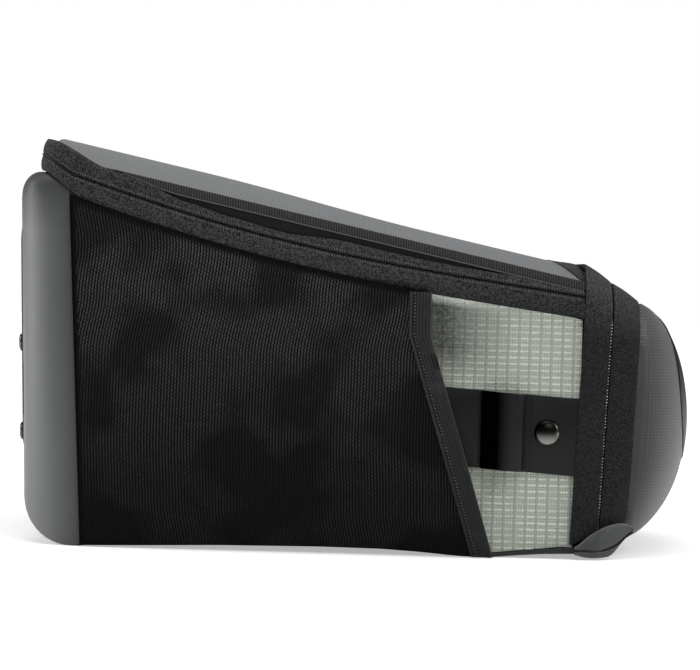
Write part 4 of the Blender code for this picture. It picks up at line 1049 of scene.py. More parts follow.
coated_strap = plain_finish("black_coated_strap", (0.008, 0.0083, 0.0086), 0.4, specular=0.3)
pores = cloud(where, 0.35, 3.0, 0.7)
wear_and_painted_light = ranged(cloud(where, 14.0, 3.0, 0.6), 0.45, 0.7)
length = axes(where)[0]
behind, turned_up = ranged(length, 47.2, 46.6), ranged(length, 53.0, 58.5)
open_to_light = reckon("MAXIMUM", behind, turned_up)
strap_colour = tint(wear_and_painted_light, (0.0055, 0.0057, 0.006), (0.0085, 0.0088, 0.0091))
strap_colour = tint(minus(1.0, open_to_light), strap_colour, (0.0006, 0.0006, 0.0007))
dashes = ranged(
    bands(add("CombineXYZ", {0: axes(where)[2]}).outputs[0], SEWN_PITCH, "X", 0.4), 0.1, 0.5, 0.3, 1.0
)
for row in SEWN_ROWS:
    off_row = reckon("ABSOLUTE", minus(length, row - DRAWN_CENTRE))
    sunk = times(ranged(off_row, SEWN_WIDTH, 0.5 * SEWN_WIDTH), dashes)
    strap_colour = tint(sunk, strap_colour, (0.0004, 0.0004, 0.0004))
tree.links.new(times(open_to_light, 0.2), shader.inputs["Specular IOR Level"])
paint(strap_colour, ranged(plus(pores, wear_and_painted_light), 0.4, 1.5, 0.36, 0.5), pores, 0.03, 0.6)


def strap_centre(x):
    return STRAP_Z - STRAP_SLOPE * (x - 40.0)


def strap_section(x, up, side):
    """The strap's outline at x: flat, with rounded edges."""
    low, high = strap_centre(x) - STRAP_WIDTH / 2, strap_centre(x) + STRAP_WIDTH / 2
    near = HALF_WIDTH + GAP + up
    half = STRAP_THICK / 2
    points = arc((near + half, high - half), (half, half), 0, 180, 6)
    points += arc((near + half, low + half), (half, half), 180, 180, 6)
    return [(min(x, FRAME_REAR + frame_shift(z) + STRAP_TUCK), side * y, z) for y, z in points]


strap_line = [(mix(STRAP_START, LOOP_X[0] - 0.4, i / 6), 0.0) for i in range(7)]
for i in range(33):
    turn = math.pi * i / 32
    middle, half = (LOOP_X[0] + LOOP_X[1]) / 2, (LOOP_X[1] - LOOP_X[0]) / 2
    strap_line.append((middle - half * math.cos(turn), LOOP_RISE * math.sin(turn) ** 0.6))
strap_end = FRAME_REAR + STRAP_TUCK
strap_line += [(mix(LOOP_X[1] + 0.4, strap_end, i / 6), 0.0) for i in range(7)]

for side, word in SIDES:
    strap = worked(swept([strap_section(x, up, side) for x, up in strap_line]), tools=rivet_hole(side))
    settle(f"side_strap_{word}_skin", strap, coated_strap, "bag", f"side_strap_{word}")
    sewn = []
    for x in LOOP_STITCHES:
        face = side * (HALF_WIDTH + GAP + STRAP_THICK)
        ends = [
            (x, face, strap_centre(x) + shift) for shift in (1.0 - STRAP_WIDTH / 2, STRAP_WIDTH / 2 - 1.0)
        ]
        sewn += [(point, way, Vector((0, side, 0))) for point, way in evenly(ends, SEWN_PITCH)]
    settle(
        f"strap_stitches_{word}", beads(sewn, SEWN_SIZE), black_thread, "bag",
        slot="black_coated_strap"
    )


# Rivets: a domed cap of dark nickel with a rolled rim, whose post goes through the strap and the side panel
# and is set into a washer inside.
CAP_RADIUS = 5.0
CAP_RISE = 2.6
POST_RADIUS = 1.4
WASHER_RADIUS = 4.5
WASHER_THICK = 1.2

cap_nickel = plain_finish("cap_nickel", (0.1, 0.098, 0.09), 0.2, metallic=1.0)
parts = axes(where)
# Painted reflection: the cap is painted bright over its lower part and its front rim, and dark elsewhere.
low = ranged(parts[2], RIVET_PLACE[1] - 0.3, RIVET_PLACE[1] - 3.4)
right_of_post = minus(parts[0], RIVET_PLACE[0] - DRAWN_CENTRE)
painted_reflection = reckon("MAXIMUM", low, ranged(right_of_post, 2.9, 4.3, 0.0, 0.8))
lint = cloud(where, 0.8, 3.0, 0.8)
paint(
    tint(painted_reflection, (0.016, 0.0155, 0.0145), (0.2, 0.196, 0.18)), ranged(lint, 0.3, 0.7, 0.16, 0.3), lint, 0.01,
    0.4
)

seat = HALF_WIDTH + GAP + STRAP_THICK + GAP
post_length = seat - (HALF_WIDTH - PANEL - GAP - 1.4)
cap_profile = [
    (0.0, -post_length), (1.15, -post_length), (POST_RADIUS, 0.25 - post_length), (POST_RADIUS, 0.3)
]
cap_profile += [(4.3, 0.3), (4.55, 0.02), (4.8, 0.02), (4.96, 0.2), (CAP_RADIUS, 0.45), (4.94, 0.68)]
cap_profile += [*arc((0.0, 0.72), (4.78, CAP_RISE - 0.72), 0, 90, 14)[1:-1], (0.0, CAP_RISE)]
washer_profile = [(POST_RADIUS + GAP, 0.0), (WASHER_RADIUS - 0.25, 0.0), (WASHER_RADIUS, 0.25)]
washer_profile += [(WASHER_RADIUS, WASHER_THICK - 0.3), (WASHER_RADIUS - 0.3, WASHER_THICK)]
washer_profile += [(POST_RADIUS + 0.9, WASHER_THICK), (POST_RADIUS + GAP, WASHER_THICK - 0.4)]
for side, word in SIDES:
    place = (RIVET_PLACE[0], side * seat, RIVET_PLACE[1])
    settle(
        f"rivet_cap_{word}_skin", aimed(turned(cap_profile, 48), place, (0, side, 0)), cap_nickel, "bag",
        f"rivet_cap_{word}", 60, slot="dark_nickel"
    )
    place = (RIVET_PLACE[0], side * (HALF_WIDTH - PANEL - GAP), RIVET_PLACE[1])
    settle(
        f"rivet_washer_{word}_skin",
        aimed(turned(washer_profile + washer_profile[:1], 40), place, (0, -side, 0)), dark_nickel, "bag",
        f"rivet_washer_{word}"
    )


# Lid: a stiff moulded sheet covered with fine-ribbed grey cloth, crowned from side to side and sloping down
# to the front. A thin black lining is glued inside it.
RIM_REAR = -120.0
RIM_CORNER = 14.0
TRIM_HEIGHT = 3.6
LINING_THICK = 1.5
LINING_INSET = 5.0
LID_RIB = 0.88

lid_cloth = plain_finish("lid_fabric", (0.13, 0.14, 0.146), 0.62, sheen=0.25)
rib = bands(where, LID_RIB, "X", 0.25)
pick = bands(where, 0.6, "Y", 0.3)
fuzz = cloud(where, 0.5, 3.0, 0.8)
wide = cloud(where, 40.0, 2.0)
colour = tint(ranged(rib, 0.1, 0.7), (0.05, 0.053, 0.056), (0.15, 0.159, 0.165))
colour = tint(ranged(fuzz, 0.45, 0.8, 0.0, 0.35), colour, (0.17, 0.178, 0.182))
colour = tint(ranged(wide, 0.3, 0.7, 0.0, 0.18), colour, (0.075, 0.08, 0.084))
height = plus(times(rib, pick), times(fuzz, 0.4))
paint(colour, ranged(fuzz, 0.3, 0.7, 0.5, 0.72), height, 0.09, 0.7)


def crowned(inset, x_front, drop, thick):
    """A crowned sheet over the rim's plan, with its top this far below the lid's outside."""
    half, rear, corner = HALF_WIDTH - inset, RIM_REAR + inset, RIM_CORNER - inset
    rows = [(mix(x_front, rear + corner, i / 48), half) for i in range(49)]
    rows += arc((rear + corner, half - corner), (corner, corner), 90, 90, 12)[1:]

    def face(sink):
        def point(across, up):
            x, width = rows[round(across * (len(rows) - 1))]
            y = (2 * up - 1) * width
            return Vector((x, y, trim_height(x) + TRIM_HEIGHT + crown(x, y) - drop - sink))

        return point

    return laid(len(rows) - 1, 64, face(0.0), face(thick))


lid = settle(
    "lid_shell_skin", soften(crowned(LID_INSET, LID_FRONT, 0.0, TRIM_HEIGHT), 0.6, 3, 50), lid_cloth, "lid",
    "lid_shell", 50
)
lining = crowned(LID_INSET + LINING_INSET, LID_FRONT - 7.0, TRIM_HEIGHT + GAP, LINING_THICK)
lid_lining = settle("lid_lining_skin", soften(lining, 0.3, 2, 50), black_foam, "lid", "lid_lining", 50)


# Lid edge trims: a black grosgrain tape along each side of the lid, with ribs across it and a rolled cord
# along its lower border. Behind, it narrows to a point under the zip's tape.
TAPE = 1.2
TRIM_INNER = HALF_WIDTH - LID_INSET + GAP
EAR_START = -92.5
WEDGE_LENGTH = 26.0
TRIM_RIB = 1.0
TRIM_RIB_DEPTH = 0.24
CORD_RADIUS = 0.24
TRIM_FRONT = 90.0
TRIM_RIB_PHASE = -1.665

ribbed_trim = plain_finish("black_ribbed_trim", (0.02, 0.02, 0.021), 0.75, specular=0.25)
fuzz = cloud(where, 0.6, 3.0, 0.8)
cords = bands(where, TRIM_RIB, "X", 0.5, TRIM_RIB_PHASE)
cords = times(cords, ranged(fuzz, 0.3, 0.65, 0.2, 1.0))
paint(
    tint(cords, (0.014, 0.014, 0.014), (0.08, 0.078, 0.075)), ranged(fuzz, 0.3, 0.7, 0.65, 0.85), fuzz, 0.1,
    0.7
)


def trim_low(x):
    """The trim's lower border, which climbs to its upper one where the trim ends in a point."""
    return trim_height(x) + (TRIM_HEIGHT - 0.35) * (1 - smooth_step((x - EAR_START) / WEDGE_LENGTH))


for side, word in SIDES:
    count = round((TRIM_FRONT - EAR_START) / (TRIM_RIB / 4))
    sections = []
    for i in range(count + 1):
        x = mix(TRIM_FRONT, EAR_START, i / count)
        low, high = trim_low(x) + 0.1, trim_height(x) + TRIM_HEIGHT + 0.1
        proud = HALF_WIDTH + TAPE - TRIM_RIB_DEPTH * (i % 4 in (1, 2))
        profile = [(TRIM_INNER, low), (proud - 0.5, low), (proud - 0.1, low + 0.18)]
        profile += [(proud, mix(low, high, share)) for share in (0.25, 0.5, 0.75)]
        profile += [(proud - 0.12, high - 0.15), (proud - 0.55, high), (TRIM_INNER, high)]
        sections.append([(x, side * y, z) for y, z in profile])
    settle(
        f"lid_edge_trim_{word}_skin", swept(sections), ribbed_trim, "lid", f"lid_edge_trim_{word}", 60,
        slot="black_ribbed_tape"
    )
    sections = []
    for i in range(61):
        x = mix(TRIM_FRONT - 0.5, EAR_START + 3.5, i / 60)
        centre = (side * (HALF_WIDTH + TAPE - 0.5), trim_low(x) - CORD_RADIUS + 0.12)
        ring = arc(centre, (CORD_RADIUS, CORD_RADIUS), 0, 360, 8)[:-1]
        sections.append([(x, y, z) for y, z in ring])
    settle(f"lid_trim_cord_{word}", swept(sections), lid_cloth, "lid", crease=60)


# Lid zip, lower half: a knitted tape sewn to the side panels and the rear shell, rolled over at the seam and
# at the slit, with one row of nylon coil teeth sewn inside its edge.
REAR_RISE = 7.6
ZIP_HALF_SLIT = 0.22
COIL_PITCH = 1.3
COIL_HEIGHT = 1.3
COIL_TOOTH = 0.36  # half a tooth, in pitches
COIL_THICK = 1.4
TAPE_PUFF = 0.55
CORNER_TIGHT = 0.6  # how much tighter the bands' edges are rolled behind
LOWER_TAPE_FRONT = 91.4  # tucked under the front frame
KNOT_PITCH = 1.0
KNOT_OUT = 1.5
KNOT_DROP = 1.3
KNOT_SIZE = (0.3, 0.55, 0.4)
KNOT_TURN = 0.6  # the rows stop where the tape turns round the rear corners

zip_tape = plain_finish("black_zip_tape", (0.012, 0.012, 0.012), 0.85, sheen=0.03, specular=0.1)
weave = along_weave()
fuzz = cloud(where, 0.75, 3.0, 0.9)
across = bands(weave, 0.62, "X", 0.8)
along = bands(weave, 0.8, "Y", 0.8)
grain = times(ranged(across, 0.1, 0.9), ranged(along, 0.0, 0.9, 0.4, 1.0))
lint = ranged(cloud(where, 0.3, 2.0, 0.9), 0.62, 0.74)
# Painted light: the fuzz and grain are painted paler high up on the lid's bands and darker lower down round
# the front frame, as light falls from above.
high = ranged(axes(where)[2], 84.0, 106.0, 0.34, 1.0)
colour = tint(times(ranged(fuzz, 0.4, 0.66), high), (0.002, 0.002, 0.0021), (0.105, 0.106, 0.105))
grain_share = times(grain, times(high, 0.12))
colour = tint(grain_share, colour, (0.06, 0.061, 0.061))
colour = tint(times(lint, 0.12), colour, (0.13, 0.13, 0.13))
paint(colour, ranged(fuzz, 0.3, 0.7, 0.68, 0.95), plus(grain, times(fuzz, 1.4)), 0.16, 0.9)

nylon_coil = plain_finish("black_nylon_coil", (0.014, 0.014, 0.014), 0.38)
shade = cloud(where, 1.1, 2.0)
paint(
    tint(ranged(shade, 0.3, 0.7), (0.009, 0.009, 0.009), (0.024, 0.024, 0.025)),
    ranged(shade, 0.3, 0.7, 0.3, 0.45), cloud(where, 0.4, 2.0), 0.02, 0.4
)


def rise(x):
    """How far the zip climbs round the rear corners."""
    return smooth_step((RIM_STRAIGHT - x) / RIM_CORNER)


def seam_height(x, y):
    """The seam under the lower tape, which rides over the rear shell's shoulder."""
    inside = HALF_WIDTH - abs(y)
    height = side_seam(x, y) + REAR_RISE * rise(x)
    if x > RIM_STRAIGHT or inside <= 0:
        return height
    reach = SHOULDER - min(inside, SHOULDER)
    return max(height, REAR_TOP - SHOULDER + math.sqrt(SHOULDER**2 - reach**2) + 2 * GAP)


def zip_height(x, y):
    return side_seam(x, y) + (REAR_RISE - 2.0) * rise(x) + ZIP_ABOVE_SEAM


def over_zip(lift):
    """A height over the slit, or under it."""
    return lambda x, y: zip_height(x, y) + lift


def rim_stations(front, pitch=2.4):
    """The rim seen from above, from its right-hand front end round the rear to the left-hand one.

    Each station is (x, y, outward x, outward y)."""
    count = round((front - RIM_STRAIGHT) / pitch)
    found = []
    for i in range(count + 1):
        found.append((mix(front, RIM_STRAIGHT, i / count), -HALF_WIDTH, 0.0, -1.0))
    for i in range(1, 13):
        turn = math.radians(-90 - 7.5 * i)
        a, b = math.cos(turn), math.sin(turn)
        found.append((RIM_STRAIGHT + RIM_CORNER * a, RIM_CORNER - HALF_WIDTH + RIM_CORNER * b, a, b))
    half_rear = HALF_WIDTH - RIM_CORNER
    rear = [(RIM_REAR, half_rear * (i / 16 - 1), -1.0, 0.0) for i in range(1, 16)]
    return found + rear + [(x, -y, a, -b) for x, y, a, b in reversed(found)]


def band_along(stations, low, high, leans, thick, puff=0.0, tuck=0.0):
    """A soft band along the rim between two heights, with rolled edges and a puffed outer face.

    The leans move its lower and upper edges outwards, and the tuck draws its upper edge in behind."""
    sections = []
    for x, y, a, b in stations:
        bottom, top = low(x, y), high(x, y)
        first, last = leans[0], leans[1] - tuck * rise(x)
        roll = min(0.5 * thick, 0.2 * (top - bottom)) * (1 - CORNER_TIGHT * rise(x))
        half = thick / 2
        profile = [(0.0, bottom + roll), *arc((half, bottom + roll), (half, roll), 180, 180, 4)]
        for share in [i / 10 for i in range(1, 10)]:
            swell = thick + puff * math.sin(math.pi * share) ** 0.7
            profile.append((swell, bottom + roll + (top - bottom - 2 * roll) * share))
        profile += arc((half, top - roll), (half, roll), 0, 180, 4)
        section = []
        for out, z in profile:
            out += mix(first, last, (z - bottom) / (top - bottom))
            section.append((x + a * out, y + b * out, z))
        sections.append(section)
    return swept(sections)


def teeth_along(stations, lift, inset, thick):
    """The coil: a row of rounded teeth across a strip, a pitch apart."""
    places = []
    line = [(x + a * inset, y + b * inset, zip_height(x, y) + lift) for x, y, a, b in stations]
    for point, way in evenly(line, COIL_PITCH):
        flat = Vector((way.y, -way.x, 0)).normalized()
        places.append((point, way.cross(flat), flat))
    return beads(places, (COIL_HEIGHT / 2, COIL_PITCH * COIL_TOOTH, thick / 2))


rim = rim_stations(LOWER_TAPE_FRONT)
tape = band_along(rim, seam_height, over_zip(-ZIP_HALF_SLIT), (GAP, 0.0), TAPE, TAPE_PUFF)
settle("lid_zip_lower_skin", tape, zip_tape, "bag", "lid_zip_tape_lower", 60)


def knots_along(name, height, body, finish):
    """A row of raised stitches along the outside of a zip tape, at a height over the slit."""
    stations = rim_stations(LID_FRONT)
    line = [(x + a * KNOT_OUT, y + b * KNOT_OUT, zip_height(x, y) + height) for x, y, a, b in stations]
    places = []
    for point, way in evenly(line, KNOT_PITCH):
        out = Vector((way.y, -way.x, 0)).normalized()
        if abs(out.y) > KNOT_TURN:
            places.append((point, way, out))
    settle(name, beads(places, KNOT_SIZE), finish, body, crease=60, slot="black_zip_tape")


knots_along("lid_zip_knots_lower", -KNOT_DROP, "bag", zip_thread)

stations = rim_stations(LID_FRONT)
inset = -LID_INSET + GAP + COIL_THICK / 2
teeth = teeth_along(stations, -ZIP_HALF_SLIT - COIL_HEIGHT / 2, inset, COIL_THICK)
settle("lid_zip_teeth_lower", teeth, nylon_coil, "bag", "lid_zip_coil_lower", 60)


# Lid zip, upper half: the same tape sewn under the lid's edge. Along the right it sags away from the lid's
# trim and leaves a dark gap, and behind it stands up as two round ears at the lid's rear corners.
EAR_RISE = 9.5
EAR_TUCK = 1.6  # how far an ear's edge leans in
LEAF_INSET = -0.95  # the tape's inner leaf, which closes that gap and laps behind the slit
LEAF_THICK = 0.45
LEAF_LAP = 1.0
REAR_FILL = (0.1, 1.4, 0.45)  # inset, thickness and half the height of a cord in the slit behind
ALLOWANCE = (-0.9, 0.8, 3.0, 1.5)  # inset, thickness, drop and rise of the tape's allowance over the shell
ZIP_GAP = (
    # x, height of the gap under the trim on the right-hand side
    (-78.0, 0.0),
    (-63.0, 2.0),
    (-46.0, 3.6),
    (-28.0, 4.6),
    (-2.0, 2.4),
    (20.0, 2.4),
    (38.0, 1.9),
    (51.0, 1.0),
    (65.0, 0.0),
)


def upper_top(x, y):
    """The upper tape's top edge: under the trim, below the gap, or up the ear."""
    ear = max(0.0, EAR_START - x) / (EAR_START - RIM_REAR)
    if x < EAR_START:
        return trim_height(x) + TRIM_HEIGHT - 0.65 + (EAR_RISE - 3.0) * smooth_step(ear * 1.15)
    gap = along_table(ZIP_GAP, x, soft=True) if y < 0 and x > ZIP_GAP[0][0] else 0.0
    return trim_low(x) - GAP - gap


rim = rim_stations(TRIM_FRONT)
tape = band_along(rim, over_zip(ZIP_HALF_SLIT), upper_top, (0.0, 0.0), TAPE, TAPE_PUFF, EAR_TUCK)
settle("lid_zip_upper_skin", tape, zip_tape, "lid", "lid_zip_tape_upper", 60)
# Painted shade: the inner leaf takes the near-black thread's finish, darker than its tape, to be the shade in
# the gap under the trim.
leaf = band_along(
    rim, over_zip(-LEAF_LAP), lambda x, y: max(trim_height(x) + 0.4, zip_height(x, y) + 3.0),
    (LEAF_INSET, LEAF_INSET), LEAF_THICK
)
settle("lid_zip_leaf", leaf, black_thread, "lid", crease=60, slot="black_zip_tape")
behind = [station for station in stations if station[0] < RIM_STRAIGHT + 1]
cord_leans = (REAR_FILL[0], REAR_FILL[0])
cord = band_along(behind, over_zip(-REAR_FILL[2]), over_zip(REAR_FILL[2]), cord_leans, REAR_FILL[1])
settle("lid_zip_rear_cord", cord, black_thread, "lid", crease=60, slot="black_zip_tape")
allowance = band_along(
    behind, lambda x, y: seam_height(x, y) - ALLOWANCE[2], lambda x, y: seam_height(x, y) + ALLOWANCE[3],
    (ALLOWANCE[0], ALLOWANCE[0]), ALLOWANCE[1]
)
settle("lid_zip_allowance", allowance, zip_tape, "bag", crease=60)
knots_along("lid_zip_knots_upper", KNOT_DROP, "lid", zip_thread)
teeth = teeth_along(stations, ZIP_HALF_SLIT + COIL_HEIGHT / 2, inset, COIL_THICK)
settle("lid_zip_teeth_upper", teeth, nylon_coil, "lid", "lid_zip_coil_upper", 60)


# Front frame: a tapering band of the same tape round the pocket's mouth, rolled at both edges. The pocket's
# zip splits it, and a row of coil teeth lies inside each half.
FRAME_X = (90.3, 113.0)
FRAME_ZIP_X = 101.6
FRAME_HALF_WIDTH = (87.5, 78.5)
FRAME_TOP = (114.4, 100.2)
FRAME_BOTTOM = (5.0, 4.2)
FRAME_CORNER = (16.0, 22.0)
FRAME_LOW_CORNER = (1.0, 30.0)
FRAME_THICK = 2.0
FRAME_ROUND = 250.0  # the cloth's way round the frame, and one row's way across it
FRAME_ROW = 0.9
FRAME_COIL = 1.3
FRAME_TEETH_DEPTH = 1.5
FRAME_LEAF = 1.8  # half the width of the tape's inner leaf, behind the slit
SEWN_IN = ((89.9, 3.4), (93.0, 2.4), (93.0, 3.2), (89.9, 4.4))  # the tape's edge inside the side panels
DOT_PITCH = 1.2
DOT_TOP = 93.0
DOT_SIZE = (0.25, 0.34, 0.34)


def frame_line(x, inset, open_below=False):
    """The frame's outline in (y, z) at x, drawn in by inset, with the same number of points at every x.

    It runs from the left-hand foot over the top, and round under the bottom unless that is open."""
    share = (x - FRAME_X[0]) / (FRAME_X[1] - FRAME_X[0])
    ends = (FRAME_HALF_WIDTH, FRAME_TOP, FRAME_BOTTOM, FRAME_CORNER, FRAME_LOW_CORNER)
    half, top, bottom, corner, low = (mix(first, last, share) for first, last in ends)
    half, top, bottom, corner = half - inset, top - inset, bottom + inset, max(1.0, corner - inset)
    low = max(0.5, low - inset)
    line = arc((half - low, bottom + low), (low, low), -90, 90, 12)
    if open_below:
        line = line[7:]
    first, last = line[-1][1], top - corner
    line += [(half, mix(first, last, i / 14)) for i in range(1, 14)]
    line += arc((half - corner, top - corner), (corner, corner), 0, 90, 14)
    side = list(line)
    line += [((half - corner) * (1 - i / 6), top) for i in range(1, 6)]
    line += [(0.0, top)] + [(-(half - corner) * i / 6, top) for i in range(1, 6)]
    return line + [(-y, z) for y, z in reversed(side)]


def band_profile(x_low, x_high, thick, puff):
    """A rolled band's section as (x, inset), from its inner face round the outside."""
    roll = min(thick / 2, 0.8)
    profile = [(x_low + roll, thick)]
    edge = []
    for turn in [math.pi / 4 * i for i in range(5)]:
        edge.append((math.sin(turn) ** 0.6, math.copysign(abs(math.cos(turn)) ** 0.6, math.cos(turn))))
    edge[2] = (1.0, 0.0)
    for out, up in edge:
        profile.append((x_low + roll - roll * out, thick / 2 + thick / 2 * up))
    for share in [i / 8 for i in range(1, 8)]:
        profile.append((mix(x_low + roll, x_high - roll, share), -puff * math.sin(math.pi * share)))
    for out, up in edge:
        profile.append((x_high - roll + roll * out, thick / 2 - thick / 2 * up))
    return profile[1:]


def arch(profile):
    """A band over the frame's legs and top, open below."""
    lines = [[(x + frame_shift(z), y, z) for y, z in frame_line(x, inset, True)] for x, inset in profile]
    return swept([list(section) for section in zip(*lines)])


def ring(profile):
    """A band all the way round the frame, from a grid whose ends meet."""
    lines = [[Vector((x + frame_shift(z), y, z)) for y, z in frame_line(x, inset)] for x, inset in profile]
    lines = [line + line[:1] for line in lines]
    lines.append(lines[0])
    shape = bmesh.new()
    cloth = shape.verts.layers.float_vector.new("weave")
    around, across = len(lines[0]) - 1, len(lines) - 1
    bmesh.ops.create_grid(shape, x_segments=around, y_segments=across, size=0.5)
    for vert in shape.verts:
        i, j = round((vert.co.x + 0.5) * around), round((vert.co.y + 0.5) * across)
        vert[cloth] = Vector((FRAME_ROUND * i / around, FRAME_ROW * j, 0.0))
        vert.co = lines[j][i]
    bmesh.ops.remove_doubles(shape, verts=shape.verts, dist=0.0005)
    return shape


body_tape = arch(band_profile(FRAME_X[0], FRAME_ZIP_X - ZIP_HALF_SLIT, FRAME_THICK, 0.35))
settle("front_zip_body_skin", body_tape, zip_tape, "bag", "front_zip_tape_body", 60)
pocket_tape = ring(band_profile(FRAME_ZIP_X + ZIP_HALF_SLIT, FRAME_X[1], FRAME_THICK, 0.35))
settle("front_zip_pocket_skin", pocket_tape, zip_tape, "front_pocket", "front_zip_tape_pocket", 60)


leaf_inset = FRAME_THICK + 2 * GAP + FRAME_TEETH_DEPTH
leaf_slit = (FRAME_ZIP_X - FRAME_LEAF, FRAME_ZIP_X + FRAME_LEAF)
leaf = [(x, leaf_inset) for x in leaf_slit] + [(x, leaf_inset + LEAF_THICK) for x in reversed(leaf_slit)]
settle("front_zip_leaf", arch(leaf), zip_tape, "bag", crease=60)
settle("front_zip_allowance", arch(SEWN_IN), zip_tape, "bag", crease=60)


def frame_teeth(x, open_below):
    """A row of coil teeth inside the frame at x."""
    inset = FRAME_THICK + GAP + FRAME_TEETH_DEPTH / 2
    line = [(x + frame_shift(z), y, z) for y, z in frame_line(x, inset, open_below)]
    if not open_below:
        line.append(line[0])
    ahead = Vector((1, 0, 0))
    places = [(point, ahead, ahead.cross(way)) for point, way in evenly(line, COIL_PITCH)]
    return beads(places, (FRAME_COIL, COIL_PITCH * COIL_TOOTH, FRAME_TEETH_DEPTH / 2))


for way, body, word in ((-1, "bag", "body"), (1, "front_pocket", "pocket")):
    teeth = frame_teeth(FRAME_ZIP_X + way * (ZIP_HALF_SLIT + FRAME_COIL), way < 0)
    settle(f"front_zip_teeth_{word}", teeth, nylon_coil, body, f"front_zip_coil_{word}", 60)


# Painted highlights: pale beads along the slit, about a coil tooth's pitch apart, stand for the glints on the
# coil's teeth.
coil_glint = plain_finish("coil_glint", (0.4, 0.4, 0.38), 0.6)
fluff = cloud(where, 0.9, 2.0, 0.8)
paint(
    tint(ranged(fluff, 0.42, 0.6), (0.06, 0.06, 0.06), (0.8, 0.8, 0.76)), ranged(fluff, 0.3, 0.7, 0.5, 0.7),
    fluff, 0.03, 0.5
)
sewn = []
line = [(FRAME_ZIP_X - 0.4 + frame_shift(z), y, z) for y, z in frame_line(FRAME_ZIP_X, 0.1, True)]
for point, way in evenly(line, DOT_PITCH):
    if point.z < DOT_TOP:
        sewn.append((point, way, Vector((0, 1 if point.y > 0 else -1, 0))))
settle("front_zip_coil_glints", beads(sewn, DOT_SIZE), coil_glint, "bag", crease=60, slot="black_zip_tape")


# Front pocket: a deep dome of moulded foam under dark grey woven cloth, glued into the frame, with a smooth
# black film bonded to the middle of its front.
DOME_DEPTH = 24.9
DOME_CENTRE_Z = 52.0
DOME_WALL = 3.0
DOME_SEAM = 1.0
DOME_RINGS = 22
DOME_SMOOTHINGS = 6
DOME_LAST = 0.6
DOME_TUCK = 0.8  # into the zip tape's front edge
PATCH_CENTRE_Z = 65.3
PATCH_HALF = (49.2, 30.4)
PATCH_HEIGHT = (0.05, 0.42)  # of its back and its front over the dome
AHEAD = 200.0
PATCH_ROUND = 0.42

dome_cloth = plain_finish("dark_grey_laminate", (0.07, 0.073, 0.077), 0.5, sheen=0.15)
parts = axes(where)
flat = add("CombineXYZ", {0: parts[1], 1: parts[2]}).outputs[0]
warp, weft = bands(flat, 1.15, "X", 0.2), bands(flat, 1.15, "Y", 0.2)
dots = ranged(times(warp, weft), 0.15, 0.85)
grain = cloud(where, 0.4, 3.0, 0.7)
wide = cloud(where, 30.0, 2.0)
colour = tint(dots, (0.03, 0.031, 0.033), (0.088, 0.091, 0.097))
colour = tint(ranged(wide, 0.35, 0.7, 0.0, 0.25), colour, (0.045, 0.047, 0.05))
# Painted shade: low down next to the frame, the dome's cloth is painted nearly black.
shade_near_frame = times(ranged(parts[0], 128.0, 103.0), ranged(parts[2], 92.0, 66.0))
colour = tint(shade_near_frame, colour, (0.009, 0.0095, 0.0105))
paint(colour, ranged(grain, 0.3, 0.7, 0.42, 0.58), plus(dots, times(grain, 0.5)), 0.1, 0.7)

black_film = plain_finish("black_film", (0.008, 0.008, 0.008), 0.45, specular=0.12)
peel = cloud(where, 2.2, 2.0)
wear = ranged(cloud(where, 12.0, 5.0, 0.75), 0.56, 0.7)
paint(
    tint(wear, (0.007, 0.007, 0.0072), (0.016, 0.016, 0.0165)), ranged(plus(peel, wear), 0.3, 1.4, 0.4, 0.55),
    peel, 0.03, 0.35
)


def reach(y, z, inset):
    """How far out the dome's drawn-in outline lies on the ray through (y, z), in lengths of that ray."""
    ray = Vector((y, z - DOME_CENTRE_Z))
    outline = [Vector((a, b - DOME_CENTRE_Z)) for a, b in base_lines[inset]]
    found = 0.0
    for first, second in zip(outline, outline[1:] + outline[:1]):
        turn = ray.cross(second - first)
        if abs(turn) < 1e-9:
            continue
        along = first.cross(second - first) / turn
        across = first.cross(ray) / turn
        if along > 0 and -0.001 <= across <= 1.001:
            found = max(found, along)
    return found


base_lines = {inset: frame_line(FRAME_X[1], DOME_SEAM + inset) for inset in (0.0, DOME_WALL)}


def dome_front(y, z, inset, depth):
    """The dome's x at (y, z): ellipses near its middle, and the frame's outline at its base."""
    half_y = FRAME_HALF_WIDTH[1] - DOME_SEAM - inset
    half_z = FRAME_TOP[1] - DOME_SEAM - inset - DOME_CENTRE_Z
    if abs(y) + abs(z - DOME_CENTRE_Z) < 1e-6:
        return FRAME_X[1] + GAP + depth
    share = min(1.0, 1 / reach(y, z, inset))
    ellipse = (y / half_y) ** 2 + ((z - DOME_CENTRE_Z) / half_z) ** 2
    level = ellipse + (share**2 - ellipse) * share**2
    base = FRAME_X[1] + GAP + frame_shift(z) * level**2
    return base + depth * math.sqrt(max(0.0, 1 - level))


def dome_rings(inset, depth):
    """The dome's outlines from its base to its tip, for its outside or, drawn in, for its inside."""
    rings = []
    for i in range(DOME_RINGS):
        shrink = math.cos(math.pi / 2 * i / (DOME_RINGS - DOME_LAST))
        ring = [(y * shrink, DOME_CENTRE_Z + (z - DOME_CENTRE_Z) * shrink) for y, z in base_lines[inset]]
        tuck = 0.0 if i else DOME_TUCK
        rings.append([(dome_front(y, z, inset, depth) - tuck, y, z) for y, z in ring])
    return rings


dome = swept([*reversed(dome_rings(DOME_WALL, DOME_DEPTH - DOME_WALL)), *dome_rings(0.0, DOME_DEPTH)])
for _ in range(DOME_SMOOTHINGS):
    free = [vert for vert in dome.verts if vert.co.x > FRAME_X[1] + GAP + frame_shift(vert.co.z) + 1.5]
    bmesh.ops.smooth_vert(dome, verts=free, factor=0.5, use_axis_x=True, use_axis_y=True, use_axis_z=True)
bmesh.ops.recalc_face_normals(dome, faces=dome.faces)
dome_surface = dome.copy()
dome_tree = BVHTree.FromBMesh(dome_surface)
dome_skin = settle("dome_skin", dome, dome_cloth, "front_pocket", "dome_shell", 50)


